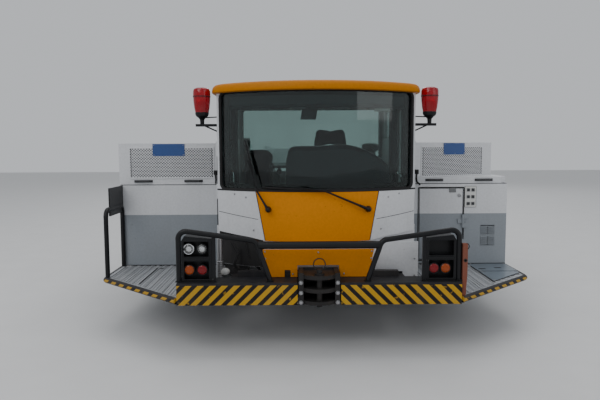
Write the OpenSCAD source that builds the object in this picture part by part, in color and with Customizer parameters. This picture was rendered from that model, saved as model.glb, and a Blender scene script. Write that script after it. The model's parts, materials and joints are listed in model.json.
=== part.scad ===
// Aircraft pushback tractor, a low four-wheel-steered towing vehicle with its cab at the front.
// Millimetres. X is across the tractor, Y runs from the cab end to the tail, Z is up from the ground.
// A depth is measured from the front bumper's face towards the tail.

/* [Overall] */
// Length from the front hitch's lip to the rear hitch's lip
length = 8600; // [8200:10:9200]
// Width over the side boxes
width = 3500; // [3400:10:3600]
// How far each hitch stands out past its bumper
hitch_reach = 60; // [40:1:90]

/* [Axles and wheels] */
// Depth of the front axle
front_axle_d = 2950; // [2950:10:3050]
// Distance from the rear axle to the rear bumper's face
rear_overhang = 1630; // [1590:10:1680]
// Distance between the middles of the two tyres of an axle
track = 3050; // [3030:2:3070]
// Radius of a tyre
tyre_r = 620; // [600:1:630]
// Width of a tyre
tyre_w = 350; // [330:1:356]
// Radius of the rim's bead seat
rim_r = 267; // [260:1:280]
// Thickness of the rim's barrel
rim_t = 14; // [10:1:18]
// Radius of the hub
hub_r = 120; // [100:1:130]
// Distance from a kingpin to the middle of its tyre
kingpin_offset = 215; // [210:1:225]
// Radius of a kingpin
kingpin_r = 30; // [24:1:36]
// Radius of the knuckle's boss round the kingpin
boss_r = 70; // [60:1:75]
// Half the height of the knuckle's boss
boss_half = 88; // [70:1:95]
// Thickness of each ear of the axle's yoke
ear_t = 60; // [45:1:70]
// Radius of the wheel spindle
spindle_r = 55; // [45:1:60]
// Reach of a steering arm, measured along the tractor
arm_reach = 330; // [310:1:340]
// Radius of a track rod
track_rod_r = 24; // [20:1:26]
// Half the depth of an axle beam
beam_half_d = 105; // [90:1:120]
// Half the height of an axle beam
beam_half_h = 130; // [110:1:140]

/* [Frame] */
// Height of the frame's underside
frame_z = 392; // [380:1:400]
// Thickness of the frame's side plates
frame_t = 50; // [40:1:60]
// Distance between the outer faces of the side plates
frame_w = 1300; // [1200:10:1400]
// Height of the side plates behind the cab
frame_top = 1180; // [1120:5:1240]
// Height of the deck's top
deck_z = 1320; // [1310:1:1340]
// Thickness of the deck
deck_t = 30; // [20:1:40]

/* [Bumpers and platforms] */
// Half the width of a bumper
bumper_half = 1016; // [990:1:1040]
// Height of a bumper's top
bumper_top = 550; // [540:1:570]
// Depth of a bumper's ledge
bumper_d = 200; // [180:1:220]
// Half the width of the notch for the hitch
notch_half = 155; // [150:1:165]
// Height of the platforms' tops
platform_z = 444; // [430:1:455]
// Thickness of a platform
platform_t = 49; // [40:1:55]
// Depth of a platform's outer front corner
platform_corner_d = 702; // [680:1:740]

/* [Side boxes and hoods] */
// Depth of the side boxes' front faces
box_d = 1169; // [1160:1:1180]
// Length of the side boxes
box_len = 980; // [900:5:1000]
// Distance from the middle to a side box
box_in = 870; // [860:1:880]
// Height of the seam between box and hood
seam_z = 1180; // [1160:1:1200]
// Height of a hood's top
hood_z = 1551; // [1520:1:1580]
// Thickness of the boxes' walls
box_t = 20; // [14:1:26]
// Thickness of a hood's walls
hood_t = 12; // [8:1:16]
// How far the right hood's outer end is set back
hood_setback = 450; // [400:5:500]
// Height of the ledge in front of the right hood's slanted grille
hood_ledge_z = 1240; // [1225:1:1260]

/* [Cab] */
// Depth of the windscreen's middle
screen_d = 270; // [260:1:290]
// Radius of the cab's bowed front in plan
screen_r = 1235; // [1180:5:1300]
// Half the width of the cab
cab_half = 800; // [785:1:805]
// Depth of the cab's rear wall
cab_back_d = 2090; // [2000:5:2110]
// Height of the cab's underside
cab_z = 590; // [585:1:600]
// Height of the windscreen's lower edge
belt_z = 1190; // [1170:1:1210]
// Height of the windscreen's upper edge
header_z = 1932; // [1900:1:1950]
// Thickness of the cab's walls
cab_t = 45; // [35:1:50]
// Thickness of the glass
glass_t = 8; // [6:1:12]
// Half the width of the windscreen
screen_half = 745; // [720:1:750]
// Thickness of the cab's front panels
panel_t = 14; // [8:1:18]
// Height of the roof above the windscreen's upper edge
roof_h = 78; // [65:1:90]
// Overhang of the roof
roof_lip = 45; // [30:1:60]
// Depth of the doorways' front edge
door_d = 650; // [645:1:670]
// Width of the doorways
door_w = 500; // [480:1:505]
// Height of the doorways' sill
sill_z = 660; // [640:1:680]

/* [Fittings] */
// Radius of the front guard's tube
guard_r = 19; // [15:1:22]
// Radius of the guard's cross bar
bar_r = 27; // [22:1:30]
// Radius of a beacon's lens
beacon_r = 69; // [60:1:75]
// Radius of a lamp
lamp_r = 36; // [30:1:40]
// Radius of the tow pins' holes
tow_pin_r = 21; // [18:0.5:24]

/* [Hidden] */

$fn = 48;
// Clearance between a moving piece and its neighbour
gap = 6;
// Clearance of a pin in its hole
pin_gap = 0.3;
// Clearance at a seat between two bodies
seat_gap = 0.3;
// Extra length of a cutter past the face that it cuts
past = 10;

nose = -length / 2 + hitch_reach;
tail_d = length - 2 * hitch_reach;
half = width / 2;
rear_axle_d = tail_d - rear_overhang;
wheelbase = rear_axle_d - front_axle_d;
kingpin_x = track / 2 - kingpin_offset;
axle_z = tyre_r;
frame_half = frame_w / 2;
arc_d = screen_d + screen_r;
box_back_d = box_d + box_len;
roof_z = header_z + roof_h;
sweep = 764;
arch_front_d = front_axle_d + sweep;
arch_rear_d = rear_axle_d - sweep;

yellow = [0.93, 0.62, 0.05];
white = [0.86, 0.87, 0.87];
grey = [0.52, 0.55, 0.58];
black = [0.09, 0.09, 0.10];
steel = [0.45, 0.46, 0.47];
rust = [0.42, 0.17, 0.11];

// The depth of a point on the bowed front at a distance across from the middle
function bow_d(x, r = screen_r) = arc_d - sqrt(r * r - x * x);
// The half angle that a half width spans on the bowed front
function bow_angle(x, r = screen_r) = asin(x / r);

// Puts children, drawn with their depth as Y, at their place along the tractor
module at_depth(d = 0) {
    translate([0, nose + d, 0]) children();
}

module both_sides() {
    children();
    mirror([1, 0, 0]) children();
}

// A plate that stands along the tractor, its outline given as depth and height
module long_plate(x, t, outline) {
    at_depth() translate([x, 0, 0]) rotate([90, 0, 90]) linear_extrude(t) polygon(outline);
}

// A plate that lies flat, its outline given as width and depth
module flat_plate(z, t, outline) {
    at_depth() translate([0, 0, z]) linear_extrude(t) polygon(outline);
}

// A block from its low corner to its high corner, with depths for Y
module block(low, high) {
    at_depth() translate(low) cube(high - low);
}

// A wall that follows the bowed front between two heights and two half widths
module bowed_wall(z0, z1, x_half, t, r = screen_r) {
    a = bow_angle(x_half, r);
    at_depth(arc_d) translate([0, 0, z0]) rotate([0, 0, -90 - a])
        rotate_extrude(angle = 2 * a, $fn = 180) translate([r - t, 0]) square([t, z1 - z0]);
}

// A tube with bent corners that follows a path in the XY plane
elbow_t = 0.5;
elbow_in = 2;

module bent_tube(path, r, bend) {
    last = len(path) - 1;
    heading = [for (i = [0:last - 1]) atan2(path[i + 1][1] - path[i][1], path[i + 1][0] - path[i][0])];
    turn = [for (i = [1:last - 1])
            let (t = heading[i] - heading[i - 1]) t > 180 ? t - 360 : t < -180 ? t + 360 : t];
    trim = [for (i = [0:last]) i == 0 || i == last ? 0 : bend * tan(abs(turn[i - 1]) / 2) - elbow_in];
    for (i = [0:last - 1]) {
        translate(path[i]) rotate([0, 0, heading[i]]) translate([trim[i], 0, 0]) rotate([0, 90, 0])
            cylinder(r = r, h = norm(path[i + 1] - path[i]) - trim[i] - trim[i + 1]);
    }
    for (i = [1:last - 1]) {
        side = sign(turn[i - 1]);
        start = side > 0 ? -90 : 90 + turn[i - 1];
        translate(path[i]) rotate([0, 0, heading[i - 1]]) translate([-trim[i] - elbow_in, side * bend, 0])
            rotate([0, 0, start]) rotate_extrude(angle = abs(turn[i - 1]))
                translate([bend, 0]) circle(r = r + elbow_t);
    }
}

// One half of a hinge whose pin runs along Z at the origin. The faces that it is fixed to lie at Y = stand,
// the leaf's half reaches towards -X and the frame's half towards +X.
hinge_r = 10;
hinge_play = 0.4;
hinge_tab = 45;

module hinge_half(len, stand, leaf) {
    third = len / 3;
    spans = leaf ? [[third + hinge_play, third - 2 * hinge_play]] : [[0, third], [2 * third, third]];
    for (s = spans) translate([0, 0, s[0]]) {
        cylinder(r = hinge_r, h = s[1]);
        translate([leaf ? -hinge_tab : 0, 0, 0]) cube([hinge_tab, stand + 1, s[1]]);
    }
}

// Frame with its side plates, cross members and outriggers, each a solid that is bolted to the next
frame_front_d = 204.3;
front_top = 545;
step_d = 2170;
notch_top = 790;
notch_long = arm_reach + 110;
notch_short = 250;
member_w = 60;
outrigger_w = 100;
tail_frame_d = tail_d - frame_front_d;
cowl_d0 = front_axle_d + wheelbase * 0.115;
cowl_d1 = front_axle_d + wheelbase * 0.605;
engine_d = [cowl_d0 + 350, cowl_d1 - 350];
cross_depths = [step_d, engine_d[0] - member_w - 20, engine_d[1] + 40, tail_frame_d - member_w];

frame_step_d = 344;
// Sections of a side plate behind its foremost one: low and high depth, low and high height
plate_sections = [
    [frame_step_d, step_d, frame_z, cab_z - seat_gap],
    [step_d, front_axle_d - notch_short, frame_z, frame_top],
    [front_axle_d - notch_short, front_axle_d + notch_long, notch_top, frame_top],
    [front_axle_d + notch_long, rear_axle_d - notch_long, frame_z, frame_top],
    [rear_axle_d - notch_long, rear_axle_d + notch_short, notch_top, frame_top],
    [rear_axle_d + notch_short, tail_frame_d, frame_z, frame_top]];

module side_plate() {
    long_plate(frame_half - frame_t, frame_t,
               [[frame_front_d, frame_z + 80], [frame_front_d + 80, frame_z], [frame_step_d, frame_z],
                [frame_step_d, front_top], [frame_front_d, front_top]]);
    for (s = plate_sections)
        block([frame_half - frame_t, s[0] + seat_gap, s[2]], [frame_half, s[1], s[3]]);
}

module chassis() {
    inside = frame_half - frame_t - seat_gap;
    outside = frame_half + seat_gap;
    color(black) {
        both_sides() side_plate();
        block([-inside, frame_front_d, frame_z], [inside, frame_front_d + member_w, cab_z - seat_gap]);
        for (d = cross_depths)
            block([-inside, d, frame_z + 31], [inside, d + member_w, frame_top - 300]);
        block([-inside, front_axle_d + notch_long, frame_z], [inside, rear_axle_d - notch_long, frame_z + 30]);
        both_sides() {
            for (d = [box_d + 90, box_back_d - 190])
                block([outside, d, platform_z - 110], [half - 60, d + outrigger_w, platform_z - seat_gap]);
            block([outside, 480, frame_z - 50],
                  [half - 400, 480 + outrigger_w, platform_z - platform_t - seat_gap]);
            for (d = [arch_front_d + 220, arch_rear_d - 320])
                block([outside, d, platform_z],
                      [half - pod_w - seat_gap, d + outrigger_w, platform_z + 140]);
            block([outside, tail_box_d + 150, platform_z],
                  [tail_box_in - seat_gap, tail_box_d + 650, platform_z + 140]);
            for (d = cross_depths)
                block([frame_half - frame_t, d, frame_top + seat_gap],
                      [frame_half, d + member_w, deck_z - deck_t - seat_gap]);
        }
    }
}

// Bumpers, with a notch for each hitch
module bumper() {
    difference() {
        union() {
            block([-bumper_half, 0, frame_z], [bumper_half, 30, bumper_top]);
            block([-bumper_half, 30, bumper_top - 16], [bumper_half, bumper_d, bumper_top]);
            for (x = [-bumper_half, -bumper_half / 2, bumper_half / 2 - 16, bumper_half - 16])
                block([x, 30, frame_z + 4], [x + 16, frame_front_d - seat_gap, bumper_top - 16]);
        }
        block([-notch_half, -past, frame_z - past], [notch_half, frame_front_d, bumper_top + past]);
    }
    both_sides() block([notch_half, 30, frame_z + 4],
                       [notch_half + 16, frame_front_d - seat_gap, bumper_top - 16]);
}

module bumpers() {
    color(yellow) {
        bumper();
        rotate([0, 0, 180]) bumper();
    }
}

// Platforms on the two front corners
rib_pitch = 60;
rib_h = 5;

module platform() {
    inner = cab_half + 12;
    flat_plate(platform_z - platform_t, platform_t - rib_h,
               [[-bumper_half - 1, 20], [-half, platform_corner_d], [-half, box_d - 1], [-inner, box_d - 1],
                [-inner, 600], [-frame_half - 20, 600], [-frame_half - 20, frame_front_d + 1],
                [-bumper_half - 1, frame_front_d + 1]]);
    for (x = [bumper_half + 30:rib_pitch:half - 20])
        block([-x - 20, max(24, (x + 20 - bumper_half) * platform_corner_d / (half - bumper_half)) + 30,
               platform_z - rib_h],
              [-x, box_d - 1, platform_z]);
    for (x = [inner + 10:rib_pitch:bumper_half - 20])
        block([-x - 20, 610, platform_z - rib_h], [-x, box_d - 1, platform_z]);
}

module platforms() {
    color([0.66, 0.68, 0.71]) both_sides() platform();
}

// Deck behind the cab, with an opening below the engine cowl
cowl_half = 640;
cowl_z = 1490;
cowl_t = 14;
cowl_slot_pitch = 100;

hood_hinge_stand = 12;
deck_d = box_back_d + hood_hinge_stand + hinge_r + gap;

// How far the cowl's walls stand in from the edge of the deck's opening
deck_lap = 40;

// Four plates around the opening under the cowl, and the flaps at the wheel arches
module deck() {
    color(white) {
        block([-half, deck_d, deck_z - deck_t], [half, cowl_d0 + deck_lap - seat_gap, deck_z]);
        flat_plate(deck_z - deck_t, deck_t,
                   [[-half, cowl_d1 - deck_lap + seat_gap], [half, cowl_d1 - deck_lap + seat_gap],
                    [half, tail_d - 140], [half - 60, tail_d - 80], [-half + 60, tail_d - 80],
                    [-half, tail_d - 140]]);
        both_sides() {
            block([cowl_half - deck_lap, cowl_d0 + deck_lap, deck_z - deck_t],
                  [half, cowl_d1 - deck_lap, deck_z]);
            for (a = [[deck_d, deck_d + 26], [arch_front_d - 20, arch_front_d + 5],
                      [arch_rear_d - 5, arch_rear_d + 20], [rear_axle_d + sweep - 20, rear_axle_d + sweep + 5]])
                block([frame_half + 430, a[0], deck_z - 130], [half, a[1], deck_z - deck_t - seat_gap]);
        }
    }
}

// Closed pods between the wheels, and the two boxes of the tail
pod_w = 620;
tail_box_d = rear_axle_d + sweep + 5;
tail_box_in = frame_half + 20;
pod_tail_d = tail_d - 90;

module pod(d0, d1, x_in) {
    difference() {
        block([x_in, d0, platform_z], [half, d1, deck_z - deck_t - 1]);
        for (z = [620, 1100])
            block([half - 6, d0 - past, z - 4], [half + past, d1 + past, z + 4]);
        for (i = [0:7])
            block([half - 14, d0 + 150, 700 + i * 42], [half + past, d0 + 650, 722 + i * 42]);
    }
}

module side_pods() {
    color(grey) both_sides() {
        pod(arch_front_d + 5, arch_rear_d - 5, half - pod_w);
        difference() {
            pod(tail_box_d, pod_tail_d, tail_box_in);
            block([tail_box_in - past, tail_d - bumper_d - 10, frame_z - past],
                  [bumper_half + 10, tail_d + past, bumper_top + 10]);
        }
    }
}

// Boxes beside the cab
locker_x = [954, 1353];
louvre_x = [1516, 1645];
louvre_zs = [614, 720];
louvre_count = 5;
louvre_pitch = 18;
louvre_h = 8;
locker_z = [platform_z + 40, seam_z - 40];
locker_hinge_stand = 12;
locker_hinge_zs = [platform_z + 110, seam_z - 400];

module locker_hinge(z, leaf) {
    at_depth(box_d - locker_hinge_stand) translate([locker_x[1] - gap / 2, 0, z])
        hinge_half(120, locker_hinge_stand, leaf);
}

module side_box(locker) {
    difference() {
        block([box_in, box_d, platform_z], [half, box_back_d, seam_z - gap / 2]);
        block([box_in + box_t, box_d + box_t, platform_z + box_t],
              [half - box_t, box_back_d - box_t, seam_z + past]);
        if (locker) {
            block([locker_x[0], box_d - past, locker_z[0]], [locker_x[1], box_d + box_t + past, locker_z[1]]);
            for (z = louvre_zs, i = [0:louvre_count - 1])
                block([louvre_x[0], box_d - past, z + i * louvre_pitch],
                      [louvre_x[1], box_d + box_t + past, z + i * louvre_pitch + louvre_h]);
        }
    }
    block([box_in, box_back_d - box_t, seam_z - gap], [half, box_back_d, hood_z - hood_t - seat_gap]);
    for (x = hood_hinge_xs) hood_hinge(x, false);
    if (locker) for (z = locker_hinge_zs) locker_hinge(z, false);
}

module side_boxes() {
    color(white) {
        mirror([1, 0, 0]) side_box(false);
        side_box(true);
    }
}

module locker_door() {
    color(grey) {
        block([locker_x[0] + gap, box_d, locker_z[0] + gap],
              [locker_x[1] - gap, box_d + box_t, locker_z[1] - gap]);
        for (z = locker_hinge_zs) locker_hinge(z, true);
    }
}

// Hoods that lift on a hinge along their rear upper edge
hood_back_d = box_back_d - box_t - gap;
hood_hinge_xs = [box_in + 90, half - 90 - 120];
hood_hinge_z = hood_z - hinge_r - 2;
hood_low = seam_z + gap / 2;
grille = [[905, 1250], [1640, 1500]];
hood_corner = 30;
hood_slant = atan(hood_setback / (half - box_in - hood_corner));
slant_grille = [[104, 1252], [838, 1504]];
slot_w = 16;
slot_h = 10;
slot_pitch = 44;
row_pitch = 21;

module hood_hinge(x, leaf) {
    at_depth(box_back_d + hood_hinge_stand) translate([x, 0, hood_hinge_z]) rotate([0, 90, 0])
        if (leaf) {
            translate([0, 0, 40 + hinge_play]) cylinder(r = hinge_r, h = 40 - 2 * hinge_play);
            translate([-hinge_r - 1, -hood_hinge_stand - 5, 40 + hinge_play])
                cube([hinge_r, hood_hinge_stand + 6, 40 - 2 * hinge_play]);
        } else {
            for (z = [0, 80]) translate([0, 0, z]) {
                cylinder(r = hinge_r, h = 40);
                translate([0, -hood_hinge_stand - 1, 0]) cube([40, hood_hinge_stand + 1, 40]);
            }
        }
}

// A field of staggered slots, drawn as width and height
module perforation(low, high) {
    rows = floor((high[1] - low[1]) / row_pitch);
    columns = floor((high[0] - low[0]) / slot_pitch);
    for (j = [0:rows - 1])
        for (i = [0:columns - 1])
            translate([low[0] + (i + (j % 2) / 2) * slot_pitch, low[1] + j * row_pitch])
                square([slot_w, slot_h]);
}

// Plans of the hoods, open to the rear when they are inset
module hood_plan_left(inset) {
    x0 = box_in + inset;
    x1 = half - inset;
    back = hood_back_d + (inset > 0 ? past : 0);
    polygon([[x0, box_d + inset], [x1, box_d + inset], [x1, back], [x0, back]]);
}

module hood_plan_right(inset) {
    x0 = box_in + inset;
    x1 = half - inset;
    back = hood_back_d + (inset > 0 ? past : 0);
    slant_x = box_in + hood_corner + inset * tan(hood_slant / 2);
    polygon([[x0, box_d + inset], [slant_x, box_d + inset],
             [x1, box_d + hood_setback + inset * (1 / cos(hood_slant) - tan(hood_slant))], [x1, back], [x0, back]]);
}

module hood_plan_ledge(inset) {
    x0 = box_in + inset;
    x1 = half - inset;
    back = hood_back_d + (inset > 0 ? past : 0);
    polygon([[x0, box_d + inset], [x1 - 60, box_d + inset], [x1, box_d + inset + 60],
             [x1, back], [x0, back]]);
}

// The strip of the hood's top that rests on the box's rear wall, and the hinges on it
module hood_top_strip() {
    block([box_in, hood_back_d - 1, hood_z - hood_t], [half, box_back_d, hood_z]);
    for (x = hood_hinge_xs) hood_hinge(x, true);
}

module hood_left() {
    color(white) mirror([1, 0, 0]) {
        difference() {
            at_depth() translate([0, 0, hood_low]) linear_extrude(hood_z - hood_low) hood_plan_left(0);
            at_depth() translate([0, 0, hood_low - past])
                linear_extrude(hood_z - hood_low + past - hood_t) hood_plan_left(hood_t);
            at_depth(box_d + hood_t + past) rotate([90, 0, 0]) linear_extrude(hood_t + 2 * past)
                perforation(grille[0], grille[1]);
        }
        hood_top_strip();
    }
}

module hood_right() {
    color(white) {
        difference() {
            union() {
                at_depth() translate([0, 0, hood_low])
                    linear_extrude(hood_ledge_z - hood_low) hood_plan_ledge(0);
                at_depth() translate([0, 0, hood_ledge_z - 1]) linear_extrude(hood_z - hood_ledge_z + 1)
                    hood_plan_right(0);
            }
            at_depth() translate([0, 0, hood_low - past])
                linear_extrude(hood_ledge_z - hood_low + past - hood_t) hood_plan_ledge(hood_t);
            at_depth() translate([0, 0, hood_ledge_z - hood_t - 1])
                linear_extrude(hood_z - hood_ledge_z + 1) hood_plan_right(hood_t);
            at_depth(box_d) translate([box_in + hood_corner, 0, 0]) rotate([0, 0, hood_slant])
                translate([0, hood_t + past, 0]) rotate([90, 0, 0]) linear_extrude(hood_t + 2 * past)
                    perforation(slant_grille[0], slant_grille[1]);
        }
        hood_top_strip();
    }
}

// Cab shell
module cab_plan(inset) {
    intersection() {
        translate([0, arc_d]) circle(r = screen_r - inset, $fn = 180);
        translate([-cab_half + inset, screen_d])
            square([2 * (cab_half - inset), cab_back_d - inset - screen_d]);
    }
}

rear_window_half = 715;
rear_window_z = 1260;
rear_window_top = header_z - 30;
side_window = [[1240, 1600], [cab_back_d - 110, header_z - 60]];

module cab_frame() {
    color(white) both_sides() for (z = door_hinge_zs) door_hinge(z, false);
    color(white) difference() {
        at_depth() translate([0, 0, cab_z]) linear_extrude(header_z - cab_z) cab_plan(panel_t + 1);
        at_depth() translate([0, 0, cab_z + 40]) linear_extrude(header_z - cab_z) cab_plan(panel_t + 1 + cab_t);
        // Windscreen opening
        block([-screen_half, -past, belt_z + 5], [screen_half, 700, header_z + past]);
        // Doorways
        both_sides() block([cab_half - 120, door_d, sill_z],
                           [cab_half + past, door_d + door_w, header_z - 40]);
        // Side windows above the side boxes
        both_sides() block([cab_half - 120, side_window[0][0], side_window[0][1]],
                           [cab_half + past, side_window[1][0], side_window[1][1]]);
        // Rear window
        block([-rear_window_half, cab_back_d - 120, rear_window_z],
              [rear_window_half, cab_back_d + past, rear_window_top]);
    }
}

module roof_plan(grow) {
    intersection() {
        translate([0, arc_d]) circle(r = screen_r + grow, $fn = 120);
        translate([-cab_half - grow / 2 - 5, 0]) square([2 * cab_half + grow + 10, cab_back_d + grow]);
    }
}

module cab_roof() {
    color(yellow) at_depth() {
        translate([0, 0, header_z + seat_gap]) linear_extrude(roof_h - 30) roof_plan(roof_lip);
        hull() {
            translate([0, 0, header_z + roof_h - 30]) linear_extrude(8) roof_plan(roof_lip);
            translate([0, 0, roof_z - 1]) linear_extrude(1) roof_plan(roof_lip - 45);
        }
    }
}

module cab_glass() {
    color([0.3, 0.36, 0.35, 0.5]) {
        bowed_wall(belt_z + 5 + seat_gap, header_z - seat_gap, screen_half - seat_gap, glass_t,
                   screen_r - panel_t - 6);
        block([-rear_window_half + seat_gap, cab_back_d - panel_t - 30, rear_window_z + seat_gap],
              [rear_window_half - seat_gap, cab_back_d - panel_t - 30 + glass_t, rear_window_top - seat_gap]);
        both_sides() block([cab_half - panel_t - 20, side_window[0][0] + seat_gap,
                            side_window[0][1] + seat_gap],
                           [cab_half - panel_t - 20 + glass_t, side_window[1][0] - seat_gap,
                            side_window[1][1] - seat_gap]);
    }
}

// Panels on the cab's front, as width and height
orange_outline = [[-468, belt_z - 6], [-398, 800], [398, 800], [468, belt_z - 6]];
white_outline = [[-474, belt_z - 6], [-402, 800], [-520, 822], [-778, 850], [-778, belt_z - 6]];
lower_outline = [[-412, 757], [-375, 552], [-notch_half, 552], [-notch_half, 640], [notch_half, 640],
                 [notch_half, 552], [375, 552], [412, 757]];
corner_outline = [[432, 790], [405, 560], [770, 560], [770, 790]];

// Cuts a panel out of the bowed wall
module bowed_panel(outline) {
    intersection() {
        bowed_wall(780, belt_z, cab_half, panel_t);
        at_depth(1100) rotate([90, 0, 0]) linear_extrude(1100) polygon(outline);
    }
}

module front_plate(d, t, outline) {
    at_depth(d + t) rotate([90, 0, 0]) linear_extrude(t) polygon(outline);
}

module yellow_panels() {
    color(yellow) {
        bowed_panel(orange_outline);
        difference() {
            front_plate(190, panel_t, lower_outline);
            block([-250, 100, 540], [-206, 300, 604]);
        }
    }
}

module white_panels() {
    color(white) {
        bowed_panel(white_outline);
        mirror([1, 0, 0]) bowed_panel(white_outline);
        front_plate(330, panel_t, corner_outline);
    }
}

// Doors, hinged at their front edge
cab_side_x = cab_half - panel_t - 1;
door_t = 35;
door_hinge_d = door_d + gap / 2;
door_hinge_stand = 12;
door_hinge_x = cab_side_x + door_hinge_stand;
door_hinge_zs = [760, 1100, 1440];
door_low = sill_z + gap;
door_high = header_z - 40 - gap;
pane = [[door_d + 70, 1100], [door_d + door_w - 60, 1820]];

module door_hinge(z, leaf) {
    at_depth(door_hinge_d) translate([door_hinge_x, 0, z]) rotate([0, 0, 90]) mirror([1, 0, 0])
        hinge_half(120, door_hinge_stand, leaf);
}

module door_leaf() {
    difference() {
        block([cab_side_x - door_t, door_d + gap, door_low], [cab_side_x, door_d + door_w - gap, door_high]);
        block([cab_half - 120, pane[0][0], pane[0][1]], [cab_half + past, pane[1][0], pane[1][1]]);
    }
    for (z = door_hinge_zs) door_hinge(z, true);
}

module door_glass() {
    block([cab_side_x - 25, pane[0][0] + seat_gap, pane[0][1] + seat_gap],
          [cab_side_x - 25 + glass_t, pane[1][0] - seat_gap, pane[1][1] - seat_gap]);
}

module door_left() {
    color(white) mirror([1, 0, 0]) door_leaf();
}

module door_right() {
    color(white) door_leaf();
}

module door_glass_left() {
    color([0.3, 0.36, 0.35, 0.5]) mirror([1, 0, 0]) door_glass();
}

module door_glass_right() {
    color([0.3, 0.36, 0.35, 0.5]) door_glass();
}

// Inside the cab
floor_z = cab_z + 40;
console_x = 170;
seat_d = cab_back_d - 490;
cushion_z = floor_z + 230;

module steering_wheel() {
    rotate_extrude() translate([200, 0]) circle(r = 14, $fn = 24);
    translate([0, 0, -150]) cylinder(r = 30, h = 164);
    for (a = [90, 210, 330]) rotate([0, 0, a]) rotate([0, 90, 0]) cylinder(r = 9, h = 199);
}

module dashboard() {
    color(black) {
        block([-480, 490, floor_z], [560, 640, 1150]);
        at_depth(800) translate([console_x, 0, 1149]) rotate([90, 0, 0]) linear_extrude(200)
            intersection() {
                union() {
                    translate([0, -200]) circle(r = 560);
                    translate([-420, 0]) square([840, 200]);
                }
                translate([-420, 0]) square([840, 400]);
            }
        at_depth(890) translate([console_x, 0, 1180]) rotate([-55, 0, 0]) steering_wheel();
    }
}

module seat(x, back_w, back_z) {
    block([x - 120, seat_d - 350, floor_z], [x + 120, seat_d - 80, cushion_z]);
    block([x - 205, seat_d - 450, cushion_z + seat_gap], [x + 205, seat_d, cushion_z + 120]);
    block([x - back_w / 2, seat_d + seat_gap, cushion_z + 40], [x + back_w / 2, seat_d + 115, back_z]);
}

module seats() {
    color([0.13, 0.13, 0.16]) {
        seat(console_x, 540, 1540);
        block([console_x - 160, seat_d + 15, 1540 + seat_gap], [console_x + 160, seat_d + 100, 1690]);
        seat(-520, 320, 1515);
    }
}

// Wipers on the cab's front
module wiper(foot, elbow, tip) {
    for (s = [[foot, elbow, 8], [elbow, tip, 6]]) {
        v = s[1] - s[0];
        at_depth() translate(s[0]) rotate([0, acos(v[2] / norm(v)), atan2(v[1], v[0])])
            cylinder(r = s[2], h = norm(v));
    }
    at_depth(-14) translate(elbow) rotate([-90, 0, 0]) cylinder(r = 13, h = 28);
    at_depth() translate(foot) rotate([-90, 0, 0]) cylinder(r = 20, h = 33);
}

module wipers() {
    color(black) {
        wiper([-374, bow_d(374) - 40, 1042], [-461, bow_d(461) - 40, 1187], [-524, bow_d(524) - 40, 1416]);
        wiper([386, bow_d(386) - 40, 1042], [50, bow_d(50) - 40, 1187], [-133, bow_d(133) - 40, 1210]);
    }
}

// Beacons on brackets beside the roof
beacon_x = 908;
beacon_d = 620;

module beacon() {
    at_depth(beacon_d) translate([beacon_x, 0, 0]) {
        translate([0, 0, 1700]) cylinder(r = 22, h = 80);
        translate([0, 0, 1780]) rotate_extrude()
            polygon([[0, 0], [40, 0], [beacon_r - 8, 55], [beacon_r, 75],
                     [beacon_r, 190], [beacon_r - 14, 205], [0, 205]]);
    }
    block([cab_side_x, beacon_d - 50, 1690], [beacon_x + 45, beacon_d + 20, 1701]);
    block([cab_side_x, beacon_d - 10, 1600], [cab_side_x + 10, beacon_d + 14, 1691]);
}

module beacons() {
    color([0.75, 0.05, 0.08]) both_sides() beacon();
}

// Guard over the front bumper, and the handrail of the left platform
guard_d = 60;
rail_plate_z = 1176;
lamp_box_x = [bumper_half - 248, bumper_half - 32];
guard_foot_h = 8;
guard_x = bumper_half - 10;
guard_path = [[-guard_x, bumper_top + guard_foot_h], [-guard_x, 924],
              [-452, 844], [-352, bumper_top + guard_foot_h]];

module guard_rails() {
    color(black) {
        both_sides() at_depth(guard_d) rotate([90, 0, 0]) bent_tube(guard_path, guard_r, 55);
        both_sides() for (p = [guard_path[0], guard_path[3]])
            block([p[0] - 20, guard_d - 24, bumper_top + seat_gap], [p[0] + 20, guard_d + 24, p[1] + 2]);
        at_depth(guard_d) translate([-435, 0, 812]) rotate([0, 90, 0]) cylinder(r = bar_r, h = 870);
        both_sides() block([lamp_box_x[0] - 26, guard_d - 12, bumper_top + seat_gap],
                           [lamp_box_x[0] - 2, guard_d + 12, 880]);
        at_depth() translate([-1728, 0, 0]) rotate([90, 0, 90])
            bent_tube([[700, platform_z + seat_gap], [700, 1000], [1148, 1000], [1148, platform_z + seat_gap]],
                      guard_r, 60);
        block([-1734, 800, 940], [-1722, box_d - seat_gap, rail_plate_z]);
    }
}

// Lamp boxes between the guard's uprights
// Places of the round lamps: inwards from the box's outer side, and height.
// The right box has lost its upper two.
left_lamps = [[43, 788], [146, 788], [51, 636], [146, 636]];
right_lamps = [[170, 640], [74, 640]];
// Places of the tail lamps: across and height
tail_lamps = [[-1180, 1060], [-1290, 1060], [1180, 1060], [1290, 1060]];
lamp_len = 60;

module lamp_box() {
    difference() {
        front_plate(guard_d - 10, 110,
                    [[lamp_box_x[0], bumper_top], [lamp_box_x[1], bumper_top], [lamp_box_x[1], 846],
                     [lamp_box_x[1] - 22, 882], [lamp_box_x[0], 863]]);
        for (z = [[730, 850], [566, 704]])
            block([lamp_box_x[0] + 16, guard_d - 10 - past, z[0]], [lamp_box_x[1] - 14, guard_d + 60, z[1]]);
    }
}

module lamp(x, d, z) {
    at_depth(d + lamp_len) translate([x, 0, z]) rotate([90, 0, 0]) cylinder(r = lamp_r, h = lamp_len);
}

module lamp_boxes() {
    color(black) {
        both_sides() lamp_box();
        for (p = left_lamps) lamp(p[0] - lamp_box_x[1], guard_d + 1, p[1]);
        for (p = right_lamps) lamp(lamp_box_x[1] - p[0], guard_d + 1, p[1]);
        for (p = tail_lamps) lamp(p[0], pod_tail_d + seat_gap, p[1]);
    }
}

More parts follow.
